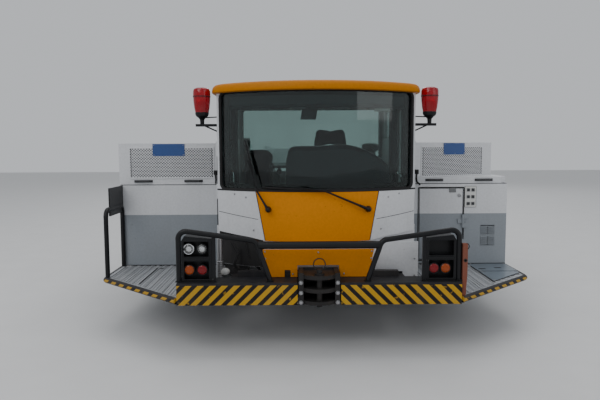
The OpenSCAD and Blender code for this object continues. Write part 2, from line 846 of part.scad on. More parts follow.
// Steel post at the right end of the front bumper
post_x = guard_x + guard_r + 2;
post_low = platform_z - rib_h + seat_gap;

module steel_post() {
    color(rust) difference() {
        union() {
            at_depth(72) rotate([90, 0, 0]) linear_extrude(40)
                polygon([[post_x, post_low], [post_x + 24, post_low], [post_x + 34, 600],
                         [post_x + 34, 820], [post_x, 820]]);
        }
        at_depth(100) translate([post_x + 18, 0, 700]) rotate([90, 0, 0]) cylinder(r = 9, h = 100);
    }
}

// Hitches at both ends: three plates with bowed lips between two cheeks, and a back plate
cheek_in = 112;
cheek_out = 148;
cheek_top = 622;
back_plate_d = frame_front_d - 24;
// Low faces and thicknesses of the three plates
hitch_plates = [[frame_z + 8, 26], [488, 28], [582, 28]];
lip_r = (pow(cheek_in, 2) + pow(hitch_reach, 2)) / (2 * hitch_reach);

module lip_outline() {
    translate([-cheek_in - 1, -1]) square([2 * cheek_in + 2, back_plate_d + 2]);
    intersection() {
        translate([0, lip_r - hitch_reach]) circle(r = lip_r, $fn = 96);
        translate([-cheek_in, -hitch_reach - past]) square([2 * cheek_in, hitch_reach + past]);
    }
}

module hitch() {
    difference() {
        union() {
            block([-cheek_out, back_plate_d, frame_z + 2], [cheek_out, frame_front_d - seat_gap, cheek_top]);
            both_sides() block([cheek_in, -4, frame_z + 2], [cheek_out, back_plate_d + 1, cheek_top]);
            for (p = hitch_plates)
                at_depth() translate([0, 0, p[0]]) linear_extrude(p[1]) lip_outline();
        }
        at_depth(0) translate([0, 0, frame_z - past])
            cylinder(r = tow_pin_r, h = cheek_top - frame_z + 2 * past);
    }
}

// Pin of the front hitch, with its collar and its wire ring
pin_collar = [36, 12];
pin_low = 380;
ring_r = 42;

module tow_pin() {
    top = hitch_plates[2][0] + hitch_plates[2][1] + seat_gap;
    at_depth() {
        translate([0, 0, pin_low]) cylinder(r = tow_pin_r - pin_gap, h = top + 40 - pin_low);
        translate([0, 0, top]) cylinder(r = pin_collar[0], h = pin_collar[1]);
        translate([0, 0, top + 40 + ring_r - 8]) rotate([90, 0, 0]) rotate_extrude() translate([ring_r, 0])
            circle(r = 4, $fn = 24);
    }
}

module hitches() {
    color(black) {
        hitch();
        rotate([0, 0, 180]) hitch();
    }
    color(rust) tow_pin();
}

// Engine cowl on the deck, and its two lids
lid_in = 22;
lid_t = 12;
lid_hinge_z = cowl_z + hinge_r + 1;
lid_hinge_ds = [cowl_d0 + 250, cowl_d1 - 250 - 120];

// The hinge's pin runs along the cowl's ridge. The cowl's barrels stand on a tab from the ridge.
module lid_hinge(d, leaf) {
    at_depth(d) translate([lid_in - hinge_r, 0, lid_hinge_z]) rotate([-90, 0, 0])
        if (leaf) {
            translate([0, 0, 40 + hinge_play]) cylinder(r = hinge_r - 1, h = 40 - 2 * hinge_play);
            translate([0, hinge_r - lid_t, 40 + hinge_play]) cube([hinge_r + 20, lid_t, 40 - 2 * hinge_play]);
        } else {
            for (z = [0, 80]) translate([0, 0, z]) {
                cylinder(r = hinge_r - 1, h = 40);
                translate([-hinge_r + 3, 0, 0]) cube([2 * hinge_r - 8, hinge_r + 2, 40]);
            }
        }
}

// The frame around the lids' openings: its width at the sides, at the ends and along the ridge
cowl_side_w = 50;
cowl_end_w = 60;
ridge_half = lid_in + 30;

module cowl() {
    inside = cowl_half - cowl_t - seat_gap;
    color(white) {
        // End walls, and the side walls with their slots
        for (d = [cowl_d0, cowl_d1 - cowl_t])
            block([-cowl_half, d, deck_z], [cowl_half, d + cowl_t, cowl_z]);
        both_sides() difference() {
            block([cowl_half - cowl_t, cowl_d0 + cowl_t + seat_gap, deck_z],
                  [cowl_half, cowl_d1 - cowl_t - seat_gap, cowl_z]);
            for (d = [cowl_d0 + 200:cowl_slot_pitch:cowl_d1 - 250])
                block([cowl_half - cowl_t - past, d, deck_z + 50],
                      [cowl_half + past, d + cowl_slot_pitch / 2, cowl_z - 50]);
        }
        // Top strips
        for (d = [cowl_d0 + cowl_t + seat_gap, cowl_d1 - cowl_end_w])
            block([-inside, d, cowl_z - cowl_t],
                  [inside, d + cowl_end_w - cowl_t - seat_gap, cowl_z]);
        block([-ridge_half, cowl_d0 + cowl_end_w + seat_gap, cowl_z - cowl_t],
              [ridge_half, cowl_d1 - cowl_end_w - seat_gap, cowl_z]);
        both_sides() {
            block([cowl_half - cowl_side_w, cowl_d0 + cowl_end_w + seat_gap, cowl_z - cowl_t],
                  [inside, cowl_d1 - cowl_end_w - seat_gap, cowl_z]);
            for (d = lid_hinge_ds) lid_hinge(d, false);
        }
    }
}

module cowl_lid() {
    block([lid_in, cowl_d0 + 40, cowl_z + seat_gap], [cowl_half - 30, cowl_d1 - 40, cowl_z + seat_gap + lid_t]);
    for (d = lid_hinge_ds) lid_hinge(d, true);
}

module cowl_lid_left() {
    color(white) mirror([1, 0, 0]) cowl_lid();
}

module cowl_lid_right() {
    color(white) cowl_lid();
}

module engine() {
    color(steel) block([-400, engine_d[0], frame_z + 30 + seat_gap], [400, engine_d[1], frame_top - 30]);
}

// Axles with a yoke at each end
ear_low = boss_half + 4;
ear_high = ear_low + ear_t;

module axle(d) {
    at_depth(d) translate([0, 0, axle_z]) difference() {
        union() {
            translate([-kingpin_x + 150, -beam_half_d, -beam_half_h])
                cube([2 * (kingpin_x - 150), 2 * beam_half_d, 2 * beam_half_h]);
            for (s = [-1, 1]) {
                translate([s * (kingpin_x - 120) - 30, -boss_r, -ear_high])
                    cube([60, 2 * boss_r, 2 * ear_high]);
                for (z = [-ear_high, ear_low]) {
                    translate([s * kingpin_x, 0, z]) cylinder(r = boss_r, h = ear_t);
                    translate([s * (kingpin_x - 60) - 60, -boss_r, z]) cube([120, 2 * boss_r, ear_t]);
                }
            }
            translate([-frame_half, -beam_half_d, beam_half_h - 1])
                cube([frame_w, 2 * beam_half_d, notch_top - axle_z - beam_half_h + 1]);
        }
        for (s = [-1, 1])
            translate([s * kingpin_x, 0, -ear_high - past])
                cylinder(r = kingpin_r + pin_gap, h = 2 * (ear_high + past));
    }
}

module axles() {
    color(steel) {
        axle(front_axle_d);
        axle(rear_axle_d);
    }
}

// Knuckle of one wheel: kingpin, boss, spindle and steering arm
rod_pin_r = 14;
rod_end_r = 27;

module knuckle(d, arm_way) {
    at_depth(d) translate([kingpin_x, 0, axle_z]) {
        translate([0, 0, -ear_high]) cylinder(r = kingpin_r, h = 2 * ear_high);
        translate([0, 0, -boss_half]) cylinder(r = boss_r, h = 2 * boss_half);
        rotate([0, 90, 0]) cylinder(r = spindle_r, h = kingpin_offset + 60);
        difference() {
            translate([0, 0, -18]) linear_extrude(36)
                polygon([[-22, 0], [22, 0], [26, arm_way * (arm_reach + 24)], [-26, arm_way * (arm_reach + 24)]]);
            translate([0, arm_way * arm_reach, -30]) cylinder(r = rod_pin_r + pin_gap, h = 60);
        }
    }
}

module track_rod(d, arm_way) {
    at_depth(d) translate([0, arm_way * arm_reach, axle_z]) {
        translate([-kingpin_x, 0, -60]) rotate([0, 90, 0]) cylinder(r = track_rod_r, h = 2 * kingpin_x);
        for (s = [-1, 1]) translate([s * kingpin_x, 0, -60]) cylinder(r = rod_end_r, h = 38);
        translate([-kingpin_x, 0, -60]) cylinder(r = rod_pin_r, h = 90);
        translate([kingpin_x, 0, -60]) cylinder(r = rod_pin_r - 2, h = 90);
    }
}

// Wheels
module rim(d) {
    at_depth(d) translate([track / 2, 0, axle_z]) rotate([0, 90, 0]) {
        rotate_extrude($fn = 72) polygon([
            [rim_r + 22, -tyre_w * 0.36], [rim_r + 22, -tyre_w * 0.33], [rim_r, -tyre_w * 0.31],
            [rim_r, tyre_w * 0.31], [rim_r + 22, tyre_w * 0.33], [rim_r + 22, tyre_w * 0.36],
            [rim_r - rim_t, tyre_w * 0.34], [rim_r - rim_t, 70], [hub_r, 56], [hub_r, 90],
            [hub_r - 30, 110], [0, 110], [0, 66], [spindle_r + pin_gap, 66], [spindle_r + pin_gap, -60],
            [hub_r - 20, -60], [hub_r - 20, 36], [rim_r - rim_t, 50], [rim_r - rim_t, -tyre_w * 0.34]]);
    }
}

module tyre(d) {
    at_depth(d) translate([track / 2, 0, axle_z]) rotate([0, 90, 0]) rotate_extrude($fn = 72)
        difference() {
            polygon([
                [rim_r + 0.5, -tyre_w * 0.30], [rim_r + 24, -tyre_w * 0.32], [rim_r + 60, -tyre_w * 0.42],
                [rim_r + 150, -tyre_w * 0.5], [tyre_r - 90, -tyre_w * 0.5], [tyre_r - 34, -tyre_w * 0.46],
                [tyre_r - 6, -tyre_w * 0.38], [tyre_r, -tyre_w * 0.2], [tyre_r, tyre_w * 0.2],
                [tyre_r - 6, tyre_w * 0.38], [tyre_r - 34, tyre_w * 0.46], [tyre_r - 90, tyre_w * 0.5],
                [rim_r + 150, tyre_w * 0.5], [rim_r + 60, tyre_w * 0.42], [rim_r + 24, tyre_w * 0.32],
                [rim_r + 0.5, tyre_w * 0.30]]);
            for (z = [-90, -30, 30, 90]) translate([tyre_r - 14, z - 6]) square([30, 12]);
        }
}

module knuckle_fl() { color(steel) mirror([1, 0, 0]) knuckle(front_axle_d, 1); }
module knuckle_fr() { color(steel) knuckle(front_axle_d, 1); }
module knuckle_rl() { color(steel) mirror([1, 0, 0]) knuckle(rear_axle_d, -1); }
module knuckle_rr() { color(steel) knuckle(rear_axle_d, -1); }
module rim_fl() { color(white) mirror([1, 0, 0]) rim(front_axle_d); }
module rim_fr() { color(white) rim(front_axle_d); }
module rim_rl() { color(white) mirror([1, 0, 0]) rim(rear_axle_d); }
module rim_rr() { color(white) rim(rear_axle_d); }
module tyre_fl() { color(black) mirror([1, 0, 0]) tyre(front_axle_d); }
module tyre_fr() { color(black) tyre(front_axle_d); }
module tyre_rl() { color(black) mirror([1, 0, 0]) tyre(rear_axle_d); }
module tyre_rr() { color(black) tyre(rear_axle_d); }
module track_rod_front() { color(steel) track_rod(front_axle_d, 1); }
module track_rod_rear() { color(steel) track_rod(rear_axle_d, -1); }

chassis();
bumpers();
platforms();
deck();
side_pods();
side_boxes();
hood_left();
hood_right();
locker_door();
cab_frame();
cab_roof();
cab_glass();
yellow_panels();
white_panels();
door_left();
door_right();
door_glass_left();
door_glass_right();
dashboard();
seats();
wipers();
beacons();
guard_rails();
lamp_boxes();
steel_post();
hitches();
cowl();
cowl_lid_left();
cowl_lid_right();
engine();
axles();
knuckle_fl();
knuckle_fr();
knuckle_rl();
knuckle_rr();
rim_fl();
rim_fr();
rim_rl();
rim_rr();
tyre_fl();
tyre_fr();
tyre_rl();
tyre_rr();
track_rod_front();
track_rod_rear();
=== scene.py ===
"""Looks of the aircraft pushback tractor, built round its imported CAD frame.

Metres. X is across the tractor, Y runs from the cab end to the tail, Z is up from the ground.
A depth is measured from the front bumper's face towards the tail, in millimetres.
"""
import json
from math import cos, hypot, pi, radians, sin, sqrt

import bmesh
import bpy
from bpy.props import FloatProperty, FloatVectorProperty, IntProperty, PointerProperty
from mathutils import Matrix, Vector

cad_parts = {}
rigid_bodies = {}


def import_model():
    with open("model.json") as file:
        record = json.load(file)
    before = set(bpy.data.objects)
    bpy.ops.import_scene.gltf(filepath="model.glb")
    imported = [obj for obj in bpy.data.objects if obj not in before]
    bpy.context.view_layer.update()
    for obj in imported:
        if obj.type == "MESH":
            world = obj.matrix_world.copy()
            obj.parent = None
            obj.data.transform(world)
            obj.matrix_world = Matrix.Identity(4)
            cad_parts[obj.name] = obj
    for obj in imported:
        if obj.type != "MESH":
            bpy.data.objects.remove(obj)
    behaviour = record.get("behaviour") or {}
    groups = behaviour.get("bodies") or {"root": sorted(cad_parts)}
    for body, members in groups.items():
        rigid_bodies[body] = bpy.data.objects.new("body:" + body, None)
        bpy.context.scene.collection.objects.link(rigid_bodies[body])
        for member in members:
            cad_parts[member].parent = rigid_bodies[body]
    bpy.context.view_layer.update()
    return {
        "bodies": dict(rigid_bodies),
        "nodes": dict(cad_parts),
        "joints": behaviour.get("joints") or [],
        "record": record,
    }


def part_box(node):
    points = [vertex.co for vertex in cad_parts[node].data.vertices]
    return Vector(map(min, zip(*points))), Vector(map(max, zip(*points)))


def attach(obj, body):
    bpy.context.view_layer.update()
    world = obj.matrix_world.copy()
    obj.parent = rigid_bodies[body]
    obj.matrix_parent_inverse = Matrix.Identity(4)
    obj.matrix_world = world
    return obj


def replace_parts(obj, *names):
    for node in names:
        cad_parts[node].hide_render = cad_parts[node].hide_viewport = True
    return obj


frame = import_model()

bl_info = {
    "name": "Pushback tractor",
    "version": (1, 0, 0),
    "blender": (4, 5, 0),
    "location": "3D View > Sidebar > Tractor",
    "description": "Builds the pushback tractor's looks round its CAD frame",
    "category": "Object",
}

NODES = frame["nodes"]
NOSE_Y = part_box("bumpers")[0][1]

# Places on the tractor, in millimetres: across from the middle, depth behind the nose, height
HALF = 1750
CAB_HALF = 785
CAB_BACK_D = 2090
SCREEN_R = 1235
SCREEN_D = 270
BOX_D = 1169
BOX_FOOT_Z = 447
HOOD_SEAM_Z = 1178.5
PLATFORM_Z = 443.5
DECK_Z = 1320
LAMP_BOX_X = 877
TAIL_D = 8390
WHEEL_X = 1525
AXLE_Z = 620
WHEELS = {"fl": (-1, 2950), "fr": (1, 2950), "rl": (-1, 6850), "rr": (1, 6850)}
SIDES = (-1, 1)
UP = Vector((0, 0, 1))


def at(x, d, z):
    """A point from millimetres: across, depth behind the bumper's face, height."""
    return Vector((x / 1000, NOSE_Y + d / 1000, z / 1000))


def bow_d(x, inset=0):
    """Depth of the cab's bowed front at a distance across from the middle."""
    return SCREEN_D + SCREEN_R - sqrt((SCREEN_R - inset) ** 2 - x * x)


def about(middle, half):
    """The two ends of a span round its middle."""
    return middle - half, middle + half


def steps(a, b, n):
    """Flat spots at equal distances from a to b."""
    return [(a[0] + (b[0] - a[0]) * k / n, a[1] + (b[1] - a[1]) * k / n) for k in range(n + 1)]


def circle(r, step):
    """Flat spots round a circle, a number of degrees apart."""
    return [(r * cos(radians(a)), r * sin(radians(a))) for a in range(0, 360, step)]


# Settings
class FinishSettings(bpy.types.PropertyGroup):
    """Colours and wear of the paint"""
    yellow: FloatVectorProperty(name="Yellow", description="Yellow paint of the panels", subtype="COLOR",
                                size=3, default=(0.60, 0.205, 0.0), min=0, max=1)
    white: FloatVectorProperty(name="White", description="White paint of the cab and hoods", subtype="COLOR",
                               size=3, default=(0.61, 0.62, 0.64), min=0, max=1)
    grey: FloatVectorProperty(name="Grey", description="Grey paint low on the boxes", subtype="COLOR",
                              size=3, default=(0.235, 0.26, 0.285), min=0, max=1)
    colour_change: FloatProperty(name="Colour change",
                                 description="Height where the boxes turn from grey to white",
                                 default=0.908, unit="LENGTH")
    chevron_pitch: FloatProperty(name="Chevron pitch",
                                 description="Distance between two black stripes, level",
                                 default=0.086, unit="LENGTH")
    dirt: FloatProperty(name="Dirt", description="How dirty the paint is", subtype="FACTOR", default=0.5,
                        min=0, max=1)


class StageSettings(bpy.types.PropertyGroup):
    """Light, camera and floor"""
    sky: FloatProperty(name="Sky", description="Strength of the light from all round", default=0.62, min=0)
    lens: FloatProperty(name="Lens", description="Focal length of the camera", default=34.4, unit="CAMERA")
    floor: FloatProperty(name="Floor", description="Width of the floor", default=60.0, unit="LENGTH")


class WheelSettings(bpy.types.PropertyGroup):
    """Counts of what repeats on a wheel"""
    nuts: IntProperty(name="Nuts", description="Wheel nuts on each rim", default=12, min=4)
    lugs: IntProperty(name="Lugs", description="Tread blocks round each shoulder", default=44, min=12)


# Shapes
class Shape:
    """Collects simple solids in one mesh and turns it into a piece."""

    def __init__(self):
        self.bm = bmesh.new()
        self.slot = 0

    def _mark(self, faces):
        """Gives new faces the material in use."""
        for f in faces:
            f.material_index = self.slot
        return self

    def box(self, low, high):
        """A block between two corner points."""
        mid = (low + high) / 2
        size = [abs(a - b) for a, b in zip(low, high)]
        made = bmesh.ops.create_cube(self.bm, size=1,
                                     matrix=Matrix.Translation(mid) @ Matrix.Diagonal((*size, 1)))
        return self._mark({f for v in made["verts"] for f in v.link_faces})

    def block(self, x, d, z):
        """A block from three pairs of millimetres: across, depth and height."""
        return self.box(at(x[0], d[0], z[0]), at(x[1], d[1], z[1]))

    def cylinder(self, a, b, r, sides=24, r2=None):
        """A cylinder or cone from point a to point b."""
        turn = (b - a).to_track_quat("Z", "Y").to_matrix().to_4x4()
        made = bmesh.ops.create_cone(self.bm, cap_ends=True, segments=sides, radius1=r, radius2=r
                                     if r2 is None else r2,
                                     depth=(b - a).length, matrix=Matrix.Translation((a + b) / 2) @ turn)
        return self._mark({f for v in made["verts"] for f in v.link_faces})

    def ball(self, centre, r, squash=(1, 1, 1), rings=12):
        """A ball, stretched by three factors."""
        made = bmesh.ops.create_uvsphere(self.bm, u_segments=2 * rings, v_segments=rings, radius=r,
                                         matrix=Matrix.Translation(centre) @ Matrix.Diagonal((*squash, 1)))
        return self._mark({f for v in made["verts"] for f in v.link_faces})

    def lathe(self, centre, way, profile, sides=32):
        """Turns a closed or open (radius, height) profile round an axis that leaves centre along way."""
        turn = Matrix.Translation(centre) @ Vector(way).to_track_quat("Z", "Y").to_matrix().to_4x4()
        rings = []
        for r, h in profile:
            if r < 1e-6:
                rings.append([self.bm.verts.new(turn @ Vector((0, 0, h)))])
            else:
                rings.append([self.bm.verts.new(turn @ Vector((r * cos(2 * pi * i / sides),
                                                               r * sin(2 * pi * i / sides), h)))
                              for i in range(sides)])
        faces = []
        for low, high in zip(rings, rings[1:]):
            for i in range(sides):
                j = (i + 1) % sides
                corners = [low[i % len(low)], low[j % len(low)], high[j % len(high)], high[i % len(high)]]
                corners = list(dict.fromkeys(corners))
                if len(corners) > 2:
                    faces.append(self.bm.faces.new(corners))
        return self._mark(faces)

    def tube(self, points, r, sides=12, closed=False):
        """A round tube that follows a list of points."""
        points = [Vector(p) for p in points]
        n = len(points)
        rings = []
        side = None
        for i, p in enumerate(points):
            before = points[(i - 1) % n] if closed or i else p
            after = points[(i + 1) % n] if closed or i < n - 1 else p
            way = (after - before).normalized()
            if side is None:
                side = way.orthogonal().normalized()
            side = (side - way * side.dot(way)).normalized()
            up = way.cross(side)
            rings.append([self.bm.verts.new(p + r * (cos(2 * pi * k / sides) * side
                                                     + sin(2 * pi * k / sides) * up))
                          for k in range(sides)])
        pairs = list(zip(rings, rings[1:])) + ([(rings[-1], rings[0])] if closed else [])
        faces = [self.bm.faces.new([a[k], a[(k + 1) % sides], b[(k + 1) % sides], b[k]])
                 for a, b in pairs for k in range(sides)]
        if not closed:
            faces += [self.bm.faces.new(rings[0][::-1]), self.bm.faces.new(rings[-1])]
        return self._mark(faces)

    def pipe(self, spots, r, sides=12, closed=False):
        """A round tube through spots in millimetres."""
        return self.tube([at(*spot) for spot in spots], r, sides, closed)

    def prism(self, outline, way):
        """A flat outline of points pushed along a vector."""
        low = [self.bm.verts.new(p) for p in outline]
        high = [self.bm.verts.new(p + way) for p in outline]
        n = len(low)
        faces = [self.bm.faces.new(low[::-1]), self.bm.faces.new(high)]
        faces += [self.bm.faces.new([low[i], low[(i + 1) % n], high[(i + 1) % n], high[i]]) for i in range(n)]
        return self._mark(faces)

    def grid(self, rows, thick=None):
        """A surface through rows of points, or a closed plate when a thickness vector is given."""
        front = [[self.bm.verts.new(p) for p in row] for row in rows]
        faces = [self.bm.faces.new([a[i], a[i + 1], b[i + 1], b[i]]) for a, b in zip(front, front[1:])
                 for i in range(len(a) - 1)]
        if thick is not None:
            back = [[self.bm.verts.new(v.co + thick) for v in row] for row in front]
            faces += [self.bm.faces.new([a[i + 1], a[i], b[i], b[i + 1]]) for a, b in zip(back, back[1:])
                      for i in range(len(a) - 1)]
            rim = front[0] + [r[-1] for r in front[1:]] + front[-1][-2::-1] + [r[0] for r in front[-2:0:-1]]
            out = back[0] + [r[-1] for r in back[1:]] + back[-1][-2::-1] + [r[0] for r in back[-2:0:-1]]
            n = len(rim)
            faces += [self.bm.faces.new([rim[(i + 1) % n], rim[i], out[i], out[(i + 1) % n]])
                      for i in range(n)]
        return self._mark(faces)

    def ring(self, path, section, closed=True):
        """Sweeps a small section (side, out) along points that each carry a side and an out vector."""
        loops = [[self.bm.verts.new(p + s * side + o * out) for s, o in section] for p, side, out in path]
        n, m = len(loops), len(section)
        faces = [self.bm.faces.new([loops[i][k], loops[i][(k + 1) % m], loops[(i + 1) % n][(k + 1) % m],
                                    loops[(i + 1) % n][k]])
                 for i in range(n if closed else n - 1) for k in range(m)]
        return self._mark(faces)

    def use(self, index):
        """The next solids take this material of the piece."""
        self.slot = index
        return self

    def mesh(self, name):
        """The collected solids as a mesh, joined at their seams and facing outwards."""
        bmesh.ops.remove_doubles(self.bm, verts=self.bm.verts, dist=1e-6)
        bmesh.ops.recalc_face_normals(self.bm, faces=self.bm.faces)
        me = bpy.data.meshes.new(name)
        self.bm.to_mesh(me)
        self.bm.free()
        return me

    def piece(self, name, body, slot, materials, bevel=0.0, sharp=35):
        """The finished piece: its object, its materials and its body. The slot is not used."""
        obj = bpy.data.objects.new(name, self.mesh(name))
        return place(obj, body, materials, bevel, sharp)


def place(obj, body, materials, bevel=0.0, sharp=35):
    """Puts an object in the scene and on its body. materials is a finish's name, or a list of them."""
    bpy.context.scene.collection.objects.link(obj)
    if not obj.data.materials:
        for name in [materials] if isinstance(materials, str) else materials:
            obj.data.materials.append(MATS[name])
    obj.data.shade_smooth()
    obj.data.set_sharp_from_angle(angle=radians(sharp))
    if bevel:
        mod = obj.modifiers.new("Edges", "BEVEL")
        mod.width = bevel
        mod.segments = 2
        mod.limit_method = "ANGLE"
        mod.harden_normals = True
    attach(obj, body)
    return obj


def on_bow(inset=0):
    """Places a spot (across, height) on the cab's bowed front."""
    def put(x, z):
        out = Vector((x, bow_d(x, inset) - SCREEN_D - SCREEN_R, 0)).normalized()
        return at(x, bow_d(x, inset), z), out
    return put


def on_front(d, way=-1):
    """Places a spot (across, height) on a face that looks along the tractor."""
    return lambda x, z: (at(x, d, z), Vector((0, way, 0)))


def on_side(x):
    """Places a spot (depth, height) on a side face."""
    return lambda d, z: (at(x, d, z), Vector((1 if x > 0 else -1, 0, 0)))


def on_top(z):
    """Places a spot (across, depth) on a level face."""
    return lambda x, d: (at(x, d, z), Vector((0, 0, 1)))


def rounded(u, v, r, put, step=80):
    """A closed path round a rectangle with round corners, for Shape.ring."""
    corners = [(u[1] - r, v[1] - r, 0), (u[0] + r, v[1] - r, 90), (u[0] + r, v[0] + r, 180),
               (u[1] - r, v[0] + r, 270)]
    round_spots = [(a + r * cos(radians(t + 22.5 * k)), b + r * sin(radians(t + 22.5 * k)))
                   for a, b, t in corners for k in range(5)]
    spots = []
    for (a, b), (c, d) in zip(round_spots, round_spots[1:] + round_spots[:1]):
        n = max(1, int(hypot(c - a, d - b) / step))
        spots += [put(*spot) for spot in steps((a, b), (c, d), n)[:-1]]
    return with_sides(spots, True)


def line(a, b, put, step=60):
    """An open path between two spots on a face."""
    n = max(1, int(hypot(b[0] - a[0], b[1] - a[1]) / step))
    return with_sides([put(*spot) for spot in steps(a, b, n)], False)


def with_sides(spots, closed):
    """A path for Shape.ring from (point, outward vector) spots."""
    n = len(spots)
    path = []
    for i, (p, out) in enumerate(spots):
        before = spots[i - 1][0] if closed or i else p
        after = spots[(i + 1) % n][0] if closed or i < n - 1 else p
        path.append((p, out.cross((after - before).normalized()), out))
    return path


def strip(width, height):
    """A section with rounded edges that sits on a face, in millimetres."""
    w, t = width / 2000, height / 1000
    return [(-w, -0.001), (-w, t * 0.6), (-w * 0.6, t), (w * 0.6, t), (w, t * 0.6), (w, -0.001)]


def half_round(r, sides=8):
    """A half round section that sits on a face, in millimetres."""
    return [(r / 1000 * cos(pi - pi * k / sides), r / 1000 * sin(pi * k / sides)) for k in range(sides + 1)]


# Repeats
class Tree:
    """A Geometry Nodes tree with named inputs, ended by real geometry and a material."""

    def __init__(self, name, sizes):
        self.tree = bpy.data.node_groups.new(name, "GeometryNodeTree")
        face = self.tree.interface
        face.new_socket("Geometry", in_out="INPUT", socket_type="NodeSocketGeometry")
        kinds = {"object": "NodeSocketObject", "material": "NodeSocketMaterial", "int": "NodeSocketInt",
                 "float": "NodeSocketFloat", "vector": "NodeSocketVector"}
        self.names = {label: face.new_socket(label, in_out="INPUT", socket_type=kinds[kind]).identifier
                      for label, kind in sizes.items()}
        face.new_socket("Geometry", in_out="OUTPUT", socket_type="NodeSocketGeometry")
        self.inputs = self.node("NodeGroupInput")

    def node(self, kind, **values):
        """A new node with its settings."""
        made = self.tree.nodes.new(kind)
        for key, value in values.items():
            setattr(made, key, value)
        return made

    def link(self, source, target):
        """Joins an output to an input."""
        self.tree.links.new(source, target)

    def given(self, label):
        """One of the tree's named inputs."""
        return self.inputs.outputs[label]

    def math(self, operation, a, b=None):
        """A sum of two numbers or sockets."""
        node = self.node("ShaderNodeMath", operation=operation)
        for socket, value in zip(node.inputs, (a, b)):
            if isinstance(value, (int, float)):
                socket.default_value = value
            elif value is not None:
                self.link(value, socket)
        return node.outputs[0]

    def end(self, points, turn):
        """Instances of the given piece on points, made real."""
        info = self.node("GeometryNodeObjectInfo")
        self.link(self.given("Piece"), info.inputs["Object"])
        put = self.node("GeometryNodeInstanceOnPoints")
        self.link(points, put.inputs["Points"])
        self.link(info.outputs["Geometry"], put.inputs["Instance"])
        if turn is not None:
            self.link(turn, put.inputs["Rotation"])
        real = self.node("GeometryNodeRealizeInstances")
        self.link(put.outputs["Instances"], real.inputs["Geometry"])
        return real.outputs["Geometry"]

    def out(self, geometry):
        """Ends the tree with the given material on the geometry."""
        paint = self.node("GeometryNodeSetMaterial")
        self.link(geometry, paint.inputs["Geometry"])
        self.link(self.given("Finish"), paint.inputs["Material"])
        end = self.node("NodeGroupOutput")
        self.link(paint.outputs["Geometry"], end.inputs["Geometry"])


def tree_of_points():
    """Copies of a piece on the points of a mesh, each turned by the point's own turn."""
    t = Tree("Pieces on points", {"Piece": "object", "Finish": "material"})
    turn = t.node("GeometryNodeInputNamedAttribute", data_type="FLOAT_VECTOR")
    turn.inputs["Name"].default_value = "turn"
    spin = t.node("FunctionNodeEulerToRotation")
    t.link(turn.outputs["Attribute"], spin.inputs[0])
    t.out(t.end(t.given("Geometry"), spin.outputs[0]))
    return t


def tree_of_ring():
    """Copies of a piece round the X axis, at a radius and a distance across."""
    t = Tree("Pieces in a ring", {"Piece": "object", "Finish": "material", "Count": "int", "Radius": "float",
                                  "Start": "float", "Centre": "vector"})
    points = t.node("GeometryNodePoints")
    t.link(t.given("Count"), points.inputs["Count"])
    index = t.node("GeometryNodeInputIndex").outputs[0]
    angle = t.math("ADD", t.math("MULTIPLY", index, t.math("DIVIDE", 2 * pi, t.given("Count"))),
                   t.given("Start"))
    spot = t.node("ShaderNodeCombineXYZ")
    t.link(t.math("MULTIPLY", t.math("COSINE", angle), t.given("Radius")), spot.inputs["Y"])
    t.link(t.math("MULTIPLY", t.math("SINE", angle), t.given("Radius")), spot.inputs["Z"])
    t.link(spot.outputs[0], points.inputs["Position"])
    turn = t.node("ShaderNodeCombineXYZ")
    t.link(angle, turn.inputs["X"])
    spin = t.node("FunctionNodeEulerToRotation")
    t.link(turn.outputs[0], spin.inputs[0])
    move = t.node("GeometryNodeTransform")
    t.link(t.end(points.outputs[0], spin.outputs[0]), move.inputs["Geometry"])
    t.link(t.given("Centre"), move.inputs["Translation"])
    t.out(move.outputs["Geometry"])
    return t


def tree_of_rows():
    """Copies of a piece in staggered rows, from an origin along two steps."""
    t = Tree("Pieces in rows", {"Piece": "object", "Finish": "material", "Columns": "int", "Rows": "int",
                                "Origin": "vector", "Column step": "vector", "Row step": "vector",
                                "Stagger": "float"})
    points = t.node("GeometryNodePoints")
    t.link(t.math("MULTIPLY", t.given("Columns"), t.given("Rows")), points.inputs["Count"])
    index = t.node("GeometryNodeInputIndex").outputs[0]
    row = t.math("FLOOR", t.math("DIVIDE", index, t.given("Columns")))
    column = t.math("SUBTRACT", index, t.math("MULTIPLY", row, t.given("Columns")))
    column = t.math("ADD", column, t.math("MULTIPLY", t.math("MODULO", row, 2), t.given("Stagger")))

    def scaled(vector, factor):
        """A vector times a number."""
        node = t.node("ShaderNodeVectorMath", operation="SCALE")
        t.link(vector, node.inputs[0])
        t.link(factor, node.inputs["Scale"])
        return node.outputs[0]

    place_at = t.given("Origin")
    for step in (scaled(t.given("Column step"), column), scaled(t.given("Row step"), row)):
        add = t.node("ShaderNodeVectorMath", operation="ADD")
        t.link(place_at, add.inputs[0])
        t.link(step, add.inputs[1])
        place_at = add.outputs[0]
    t.link(place_at, points.inputs["Position"])
    t.out(t.end(points.outputs[0], None))
    return t


def repeat(tree, name, body, slot, template, finish, host=None, sharp=35, **sizes):
    """Runs a tree of TREES on a template mesh and keeps the result as one plain piece."""
    tree = TREES[tree]
    scene = bpy.context.scene.collection
    sample = bpy.data.objects.new("sample", template)
    scene.objects.link(sample)
    obj = bpy.data.objects.new(name, host or bpy.data.meshes.new(name))
    scene.objects.link(obj)
    mod = obj.modifiers.new("Repeat", "NODES")
    mod.node_group = tree.tree
    mod[tree.names["Piece"]] = sample
    mod[tree.names["Finish"]] = MATS[finish]
    for label, value in sizes.items():
        mod[tree.names[label.replace("_", " ")]] = value
    deps = bpy.context.evaluated_depsgraph_get()
    made = bpy.data.meshes.new_from_object(obj.evaluated_get(deps), depsgraph=deps)
    made.name = name
    bpy.data.objects.remove(obj)
    bpy.data.objects.remove(sample)
    return place(bpy.data.objects.new(name, made), body, finish, sharp=sharp)


